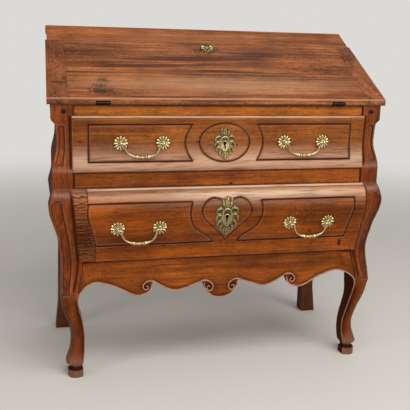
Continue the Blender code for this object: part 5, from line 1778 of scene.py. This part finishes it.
@dataclass
class KeyPlate:
    """A cast key plate of leaves round a shield, pierced by its keyhole."""

    node: str
    body: str
    width: float
    height: float
    place: Callable[[float, float, float], Vector]
    thickness: float = 0.0016
    gap: float = 0.0003
    # Radius of the keyhole's eye, half-width and foot of its slot, as shares of the width
    eye: float = 0.076
    slot: tuple[float, float] = (0.040, 0.25)
    rim: float = 0.030
    # Height of a leaf's crown as a share of its half-width, and how far the left half hangs below the right
    crown: float = 0.55
    sway: float = 0.018

    # Shares of the width and the height: the ground's right half from the top, and the shield's rim
    GROUND = ((0, 0.42), (0.12, 0.38), (0.15, 0.29), (0.26, 0.20), (0.36, 0.12), (0.35, 0.00), (0.32, -0.10),
              (0.25, -0.22), (0.14, -0.28), (0.11, -0.37), (0, -0.42))
    SHIELD = ((0, 0.20), (0.12, 0.17), (0.20, 0.07), (0.19, -0.06), (0.11, -0.18), (0, -0.25))
    # Each leaf of the right half: its run from root to tip, and its half-width as a share of the width
    LEAVES = (
        (((0.03, 0.24), (0.02, 0.36), (0.03, 0.50)), 0.080),
        (((0.09, 0.25), (0.17, 0.33), (0.19, 0.43), (0.11, 0.47)), 0.062),
        (((0.15, 0.18), (0.29, 0.24), (0.42, 0.20), (0.47, 0.09)), 0.075),
        (((0.24, 0.07), (0.37, 0.07), (0.46, -0.02), (0.45, -0.13)), 0.070),
        (((0.22, -0.05), (0.34, -0.11), (0.40, -0.20), (0.32, -0.27)), 0.065),
        (((0.15, -0.16), (0.24, -0.24), (0.25, -0.34), (0.16, -0.38)), 0.058),
        (((0.07, -0.24), (0.12, -0.34), (0.10, -0.42), (0.03, -0.46)), 0.052),
        (((0.03, -0.26), (0.02, -0.38), (0.02, -0.50)), 0.055),
    )
    # Across a leaf and round under it: share of its half-width, share of its crown, and dirt
    LEAF_SECTION = ((1.0, 0.25, 0.65), (0.55, 1.0, 0.1), (0.0, 0.65, 0.55), (-0.55, 1.0, 0.1),
                    (-1.0, 0.25, 0.65), (0.0, 0.0, 0.9))
    # The keyhole's collar: its width and height in those of the hole, and its bar in that of the shield
    COLLAR = (1.3, 1.2)
    COLLAR_BAR = 0.7
    BAR_SIDES = 8
    # The eye's arc starts at this many degrees and runs through this many
    EYE_ARC = (-60, 300)
    GROUND_DIRT = 0.85
    HOLE_DIRT = 0.3
    CRISP = 60.0

    def build(self) -> None:
        """Builds the plate, and behind its keyhole a dark iron sheet that paints the shade in the hole."""
        hole = self.keyhole()
        shell = Shell()
        self.add_ground(shell, self.both_halves(self.GROUND), hole)
        for side in Side:
            drop = self.sway if side is Side.LEFT else 0.0
            for run, half in self.LEAVES:
                run = [(side.value * a * self.width, (b - drop) * self.height) for a, b in run]
                self.add_leaf(shell, run, half)
        bar = self.rim * self.width
        collar = [(self.COLLAR[0] * a, self.COLLAR[1] * b) for a, b in hole]
        for loop, radius in ((self.both_halves(self.SHIELD), bar), (collar, self.COLLAR_BAR * bar)):
            path = [self.place(a, b, self.thickness) for a, b in [*loop, loop[0]]]
            shell.tube(path, [radius] * len(path), self.BAR_SIDES)
        berth = Berth(self.body, "gilt_brass", (self.node,))
        shell.make(f"{self.node}_cast", GILT_BRASS, berth, self.CRISP)
        # A dark sheet behind the keyhole, painted shade in the hole
        keyhole_shade = Shell()
        # From the front to the back, so that the faces point out
        layers = [[tuple(self.place(a, b, out)) for a, b in hole[::-1]] for out in (2 * self.gap, self.gap)]
        keyhole_shade.rings(layers, 0.0, 1.0)
        keyhole_shade.make(f"{self.node}_lock_mouth", FORGED_IRON, Berth(self.body, "forged_iron"))

    def both_halves(self, half: Sequence[tuple[float, float]]) -> Outline:
        """Draws a closed outline from its right half.

        Args:
            half: Shares of the width and height, from the top to the bottom.

        Returns:
            The outline in metres.
        """
        right = smooth_through([(a * self.width, b * self.height) for a, b in half], 4)
        return [*right, *[(-a, b) for a, b in reversed(right[1:-1])]]

    def keyhole(self) -> Outline:
        """Draws the keyhole: a round eye over a straight slot, against the clock.

        Returns:
            The hole's edge in metres.
        """
        radius, side, foot = (share * self.width for share in (self.eye, *self.slot))
        start, sweep = self.EYE_ARC
        turns = [math.radians(start + sweep * i / 14) for i in range(15)]
        return [*[(radius * math.cos(t), radius * math.sin(t)) for t in turns], (-side, -foot), (side, -foot)]

    def add_leaf(self, shell: Shell, run: Outline, half: float) -> None:
        """Adds a leaf with a furrow along its middle and a wavy edge.

        Args:
            shell: The piece so far.
            run: Points from its root to its tip.
            half: Its half-width as a share of the plate's width.
        """
        stations = smooth_through(run, 6)
        count = len(stations) - 1
        rings, hollow = [], []
        for i, (a, b) in enumerate(stations):
            before, after = stations[max(i - 1, 0)], stations[min(i + 1, count)]
            along = Vector((after[0] - before[0], after[1] - before[1])).normalized()
            share = i / count
            swell = 0.3 + 0.75 * math.sin(math.pi * share ** 0.75)
            wave = 1 + 0.16 * math.cos(6 * math.pi * share)
            reach = half * self.width * swell * wave
            ring = []
            for across, rise, dirty in self.LEAF_SECTION:
                aside = reach * across
                out = self.gap + rise * (self.thickness + self.crown * reach)
                ring.append(tuple(self.place(a - along.y * aside, b + along.x * aside, out)))
                hollow.append(dirty)
            rings.append(ring)
        shell.rings(rings, 0.0, hollow)

    def add_ground(self, shell: Shell, outline: Outline, hole: Outline) -> None:
        """Adds the flat ground with its keyhole.

        Args:
            shell: The piece so far.
            outline: The ground's edge.
            hole: The keyhole's edge.
        """
        loops = [list(reversed(outline)), list(reversed(hole))]
        flat = tessellate_polygon([[Vector((a, b, 0)) for a, b in loop] for loop in loops])
        edge = [p for loop in loops for p in loop]
        count = len(edge)
        points = [tuple(self.place(a, b, out)) for out in (self.thickness, self.gap) for a, b in edge]
        faces = [tuple(face) for face in flat]
        faces += [tuple(count + i for i in reversed(face)) for face in flat]
        start = 0
        for loop in loops:
            size = len(loop)
            for i in range(size):
                a, b = start + i, start + (i + 1) % size
                faces.append((a, b, count + b, count + a))
            start += size
        dirt = [self.GROUND_DIRT] * len(outline) + [self.HOLE_DIRT] * len(hole)
        shell.add(points, faces, 0.0, dirt + dirt)


# Edges of the CAD nodes that turn by more than this many degrees are rounded
EASED = 40.0


def soften(piece: bpy.types.Object, group: bpy.types.NodeTree, width: float) -> None:
    """Rounds a CAD node's edges without touching its mesh.

    Args:
        piece: The node's object.
        group: The group that joins its facets.
        width: Width of the rounding.
    """
    weld = piece.modifiers.new("joined_facets", "NODES")
    weld.node_group = group
    bevel = piece.modifiers.new("eased_edges", "BEVEL")
    bevel.width = width
    bevel.segments = 2
    bevel.limit_method = "ANGLE"
    bevel.angle_limit = math.radians(EASED)
    bevel.harden_normals = True


def joined_facets() -> bpy.types.NodeTree:
    """Makes the group that welds a node's facets and shades them smooth up to a crease.

    Returns:
        The group.
    """
    tree = bpy.data.node_groups.new("joined_facets", "GeometryNodeTree")
    tree.interface.new_socket("Geometry", in_out="INPUT", socket_type="NodeSocketGeometry")
    tree.interface.new_socket("Geometry", in_out="OUTPUT", socket_type="NodeSocketGeometry")
    start = add_node(tree, "NodeGroupInput", {}, {}).outputs[0]
    inputs = {"Geometry": start, "Name": "custom_normal"}
    bare = add_node(tree, "GeometryNodeRemoveAttribute", {}, inputs).outputs[0]
    inputs = {"Geometry": bare, "Distance": 0.02 * MM}
    welded = add_node(tree, "GeometryNodeMergeByDistance", {}, inputs).outputs[0]
    angle = add_node(tree, "GeometryNodeInputMeshEdgeAngle", {}, {}).outputs[0]
    inputs = {0: angle, 1: math.radians(CREASE)}
    gentle = add_node(tree, "FunctionNodeCompare", {"operation": "LESS_THAN"}, inputs).outputs[0]
    faces = add_node(tree, "GeometryNodeSetShadeSmooth", {"domain": "FACE"}, {0: welded}).outputs[0]
    edges = add_node(tree, "GeometryNodeSetShadeSmooth", {"domain": "EDGE"}, {0: faces, 2: gentle}).outputs[0]
    add_node(tree, "NodeGroupOutput", {}, {0: edges})
    return tree


@dataclass
class Carcase:
    """The plain boards and rails that keep their CAD shape, with the finish and edge rounding of each."""

    finishes: tuple[tuple[Finish, tuple[str, ...]], ...] = (
        (LID_WALNUT, ("lid_panel",)),
        (TOP_WALNUT, ("top_board", "top_rail")),
        (CLEAT_WALNUT, ("lid_left_cleat", "lid_right_cleat")),
        (FRIEZE_WALNUT, ("frieze_rail", "writing_floor", "gallery_shelf", "gallery_partition",
                         *[f"{side.label}_small_drawer_front" for side in Side])),
        (RAIL_WALNUT, ("mid_rail",)),
        (POST_WALNUT, ("left_loper", "right_loper")),
        (BACK_WALNUT, ("rear_left_post", "rear_right_post")),
        (SIDE_WALNUT, ("left_side_panel", "right_side_panel", "back_panel")),
        (INNER_OAK, ("bottom_board", "dust_board", *[f"{side.label}_small_drawer_tray" for side in Side],
                     *[f"{drawer}_drawer_{board}" for drawer in ("upper", "lower")
                       for board in ("left_side", "right_side", "back", "bottom")])),
        (FORGED_IRON, ("lid_lock", "upper_drawer_lock", "lower_drawer_lock",
                       *[f"{side.label}_loper_knob" for side in Side],
                       *[f"{leaf}_{side.label}_hinge_leaf" for leaf in ("case", "lid") for side in Side])),
    )
    rounding: float = 0.0009
    fine_rounding: float = 0.0003

    def dress(self) -> None:
        """Gives each node its finish and softens its edges."""
        group = joined_facets()
        for finish, nodes in self.finishes:
            width = self.fine_rounding if isinstance(finish, Metal) else self.rounding
            for node in nodes:
                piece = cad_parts[node]
                piece.data.materials.clear()
                piece.data.materials.append(DRESSER.material(finish))
                soften(piece, group, width)
                LOG.info("%s: %s", node, finish.name)


@dataclass(frozen=True)
class Lamp:
    """A soft rectangular lamp that looks at the desk; its size is in metres and its power in watts."""

    name: str
    place: Point
    target: Point
    size: Pair
    power: float
    # Red, green and blue of slightly warm light
    tint: Point = (1.0, 0.97, 0.93)

    def build(self) -> None:
        """Hangs the lamp."""
        lamp = bpy.data.lights.new(self.name, "AREA")
        lamp.shape = "RECTANGLE"
        lamp.size, lamp.size_y = self.size
        lamp.energy = self.power
        lamp.color = self.tint
        holder = link(self.name, lamp)
        holder.location = self.place
        ahead = Vector(self.target) - Vector(self.place)
        holder.rotation_euler = ahead.to_track_quat("-Z", "Y").to_euler()


@dataclass
class Studio:
    """A pale floor, soft lamps and the photograph's camera."""

    floor_reach: float = 9.0
    floor_points: int = 48
    # Between these distances the floor gives way to the pale background
    floor_fade: Pair = (1.2, 4.6)
    # The floor as the camera sees it and, darker, as the light that it throws back on the desk
    floor_seen: str = "#E8E5E0"
    floor_lit: str = "#C8C4BC"
    # Size in millimetres and shades of its faint clouds
    mottle: float = 500.0
    mottle_shades: Pair = (0.96, 1.0)
    floor_roughness: float = 0.9
    picture: int = 410
    focal: float = 700.0
    sensor: float = 36.0
    eye: Point = (-0.5174, -1.8634, 0.8947)
    # Degrees
    yaw: float = 13.99
    pitch: float = 11.95
    roll: float = 1.22
    farthest: float = 60.0
    # The world's colour and strength as light, in reflections and behind the desk
    world: tuple[tuple[str, str, float], ...] = (
        ("", "#E6E4E0", 0.38), ("Is Glossy Ray", "#E6E4E0", 0.12), ("Is Camera Ray", "#DCDAD6", 1.0),
    )
    lamps: tuple[Lamp, ...] = (
        Lamp("window", (1.1, -4.4, 1.6), (0.0, 0.0, 0.6), (3.6, 1.4), 72.0),
        Lamp("side_window", (-3.2, -2.0, 1.5), (0.0, 0.0, 0.5), (1.4, 1.8), 23.0),
        Lamp("ceiling", (0.5, -1.75, 2.9), (0.0, 0.0, 0.5), (2.8, 1.5), 53.0),
        Lamp("overhead", (0.6, 0.9, 2.9), (0.0, 0.0, 0.5), (2.0, 2.0), 6.0),
    )

    def build(self) -> None:
        """Builds the floor, the light and the camera."""
        self.build_floor()
        self.build_world()
        for lamp in self.lamps:
            lamp.build()
        self.build_camera()
        bpy.context.scene.view_settings.view_transform = "Standard"

    def build_floor(self) -> None:
        """Lays a plain pale floor, matt and very faintly mottled."""
        material, tree = new_material("matt_studio_floor")
        place = object_place(tree)
        seen = add_node(tree, "ShaderNodeLightPath", {}, {}).outputs["Is Camera Ray"]
        colour = mix(tree, seen, linear(self.floor_lit), linear(self.floor_seen))
        clouds = scaled(tree, noise(tree, place, self.mottle, 2.0), UNIT, self.mottle_shades)
        inputs = {"Vector": colour, "Scale": clouds}
        colour = add_node(tree, "ShaderNodeVectorMath", {"operation": "SCALE"}, inputs).outputs[0]
        inputs = {"Base Color": colour, "Roughness": self.floor_roughness}
        surface = add_node(tree, "ShaderNodeBsdfPrincipled", {}, inputs).outputs[0]
        clear = add_node(tree, "ShaderNodeBsdfTransparent", {}, {}).outputs[0]
        fade = ramp(tree, vector_maths(tree, "LENGTH", place)[1], self.floor_fade)
        faded = add_node(tree, "ShaderNodeMixShader", {}, {0: fade, 1: surface, 2: clear}).outputs[0]
        add_node(tree, "ShaderNodeOutputMaterial", {}, {"Surface": faded})
        count, reach = self.floor_points, self.floor_reach
        turns = [2 * math.pi * i / count for i in range(count)]
        rim = [(reach * math.cos(t), reach * math.sin(t), 0) for t in turns]
        mesh = bpy.data.meshes.new("studio_floor")
        mesh.from_pydata(rim, [], [tuple(range(count))])
        mesh.materials.append(material)
        link("studio_floor", mesh)

    def build_world(self) -> None:
        """Sets the light that comes from all round."""
        world = bpy.data.worlds.new("pale_studio")
        world.use_nodes = True
        tree = world.node_tree
        tree.nodes.clear()
        path = add_node(tree, "ShaderNodeLightPath", {}, {}).outputs
        shader = None
        for ray, colour, strength in self.world:
            inputs = {"Color": linear(colour), "Strength": strength}
            level = add_node(tree, "ShaderNodeBackground", {}, inputs).outputs[0]
            if shader:
                inputs = {0: path[ray], 1: shader, 2: level}
                level = add_node(tree, "ShaderNodeMixShader", {}, inputs).outputs[0]
            shader = level
        add_node(tree, "ShaderNodeOutputWorld", {}, {"Surface": shader})
        bpy.context.scene.world = world

    def build_camera(self) -> None:
        """Puts the camera where the photograph was taken."""
        yaw, pitch, roll = (math.radians(a) for a in (self.yaw, self.pitch, self.roll))
        flat = math.cos(pitch)
        ahead = Vector((math.sin(yaw) * flat, math.cos(yaw) * flat, -math.sin(pitch)))
        level = Vector((math.cos(yaw), -math.sin(yaw), 0))
        above = level.cross(ahead)
        right = math.cos(roll) * level + math.sin(roll) * above
        up = math.cos(roll) * above - math.sin(roll) * level
        lens = bpy.data.cameras.new("photograph")
        lens.sensor_width = self.sensor
        lens.lens = self.focal / self.picture * self.sensor
        lens.clip_end = self.farthest
        camera = link("photograph", lens)
        turn = Matrix((right, up, -ahead)).transposed().to_4x4()
        camera.matrix_world = Matrix.Translation((self.eye[0], self.eye[1] + FRONT, self.eye[2])) @ turn
        bpy.context.scene.camera = camera


# Slope of the closed lid in degrees, and height of its upper face at its front edge
LID_SLOPE = 30.5
LID_START = 0.78299


def on_drawer(centre: float) -> Callable[[float, float, float], Vector]:
    """Gives the place of a plate's points on a drawer front.

    Args:
        centre: Height of the plate's middle.

    Returns:
        A function of (across, up, out).
    """
    step = 2 * MM

    def place(across: float, up: float, out: float) -> Vector:
        """A point that stands off the curved face."""
        z = centre + up
        lean = (SWELL.front_face(z + step) - SWELL.front_face(z - step)) / (2 * step)
        normal = Vector((0, -1, lean)).normalized()
        return Vector((across, FRONT + SWELL.front_face(z), z)) + normal * out
    return place


def on_lid(reach: float) -> Callable[[float, float, float], Vector]:
    """Gives the place of a plate's points on the slope of the lid.

    Args:
        reach: Distance of the plate's middle up the slope from the lid's front edge.

    Returns:
        A function of (across, up, out).
    """
    slope = math.radians(LID_SLOPE)
    along = Vector((0, math.cos(slope), math.sin(slope)))
    normal = Vector((0, -math.sin(slope), math.cos(slope)))
    start = Vector((0, FRONT, LID_START))

    def place(across: float, up: float, out: float) -> Vector:
        """A point that stands off the lid."""
        return start + along * (reach + up) + normal * out + Vector((across, 0, 0))
    return place


# Each drawer's handles, by their distance from the middle and their height
HANDLES = (("upper", 0.2314, 0.6634), ("lower", 0.2452, 0.438))
# Each key plate's node, body, width, height and place
KEY_PLATES = (
    ("upper_drawer_escutcheon", "upper_drawer", 0.060, 0.089, on_drawer(0.662)),
    ("lower_drawer_escutcheon", "lower_drawer", 0.066, 0.1125, on_drawer(0.4637)),
    ("lid_escutcheon", "lid", 0.042, 0.056, on_lid(0.262)),
)


def main() -> None:
    """Builds the classes in order."""
    logging.basicConfig(level=logging.INFO, format="%(name)s: %(message)s")
    Studio().build()
    Carcase().dress()
    for side in Side:
        FrontPost(side).build()
    Apron().build()
    DrawerFront("upper", SWELL.upper_base, SWELL.upper_top, SWELL.upper_half, upper_grooves(), UPPER_WALNUT,
                UPPER_WEAR_AND_SHEEN).build()
    DrawerFront("lower", SWELL.drawer_base, SWELL.lower_top, SWELL.lower_half, lower_grooves(), LOWER_WALNUT,
                LOWER_WEAR_AND_SHEEN, across=LOWER_ACROSS,
                end=CrackedEnd(SWELL.drawer_base, SWELL.lower_top, LOWER_PANEL_END)).build()
    for side in Side:
        for drawer, x, z in HANDLES:
            DropHandle(drawer, side, x, z).build()
    for plate in KEY_PLATES:
        KeyPlate(*plate).build()


if __name__ == "__main__":
    main()
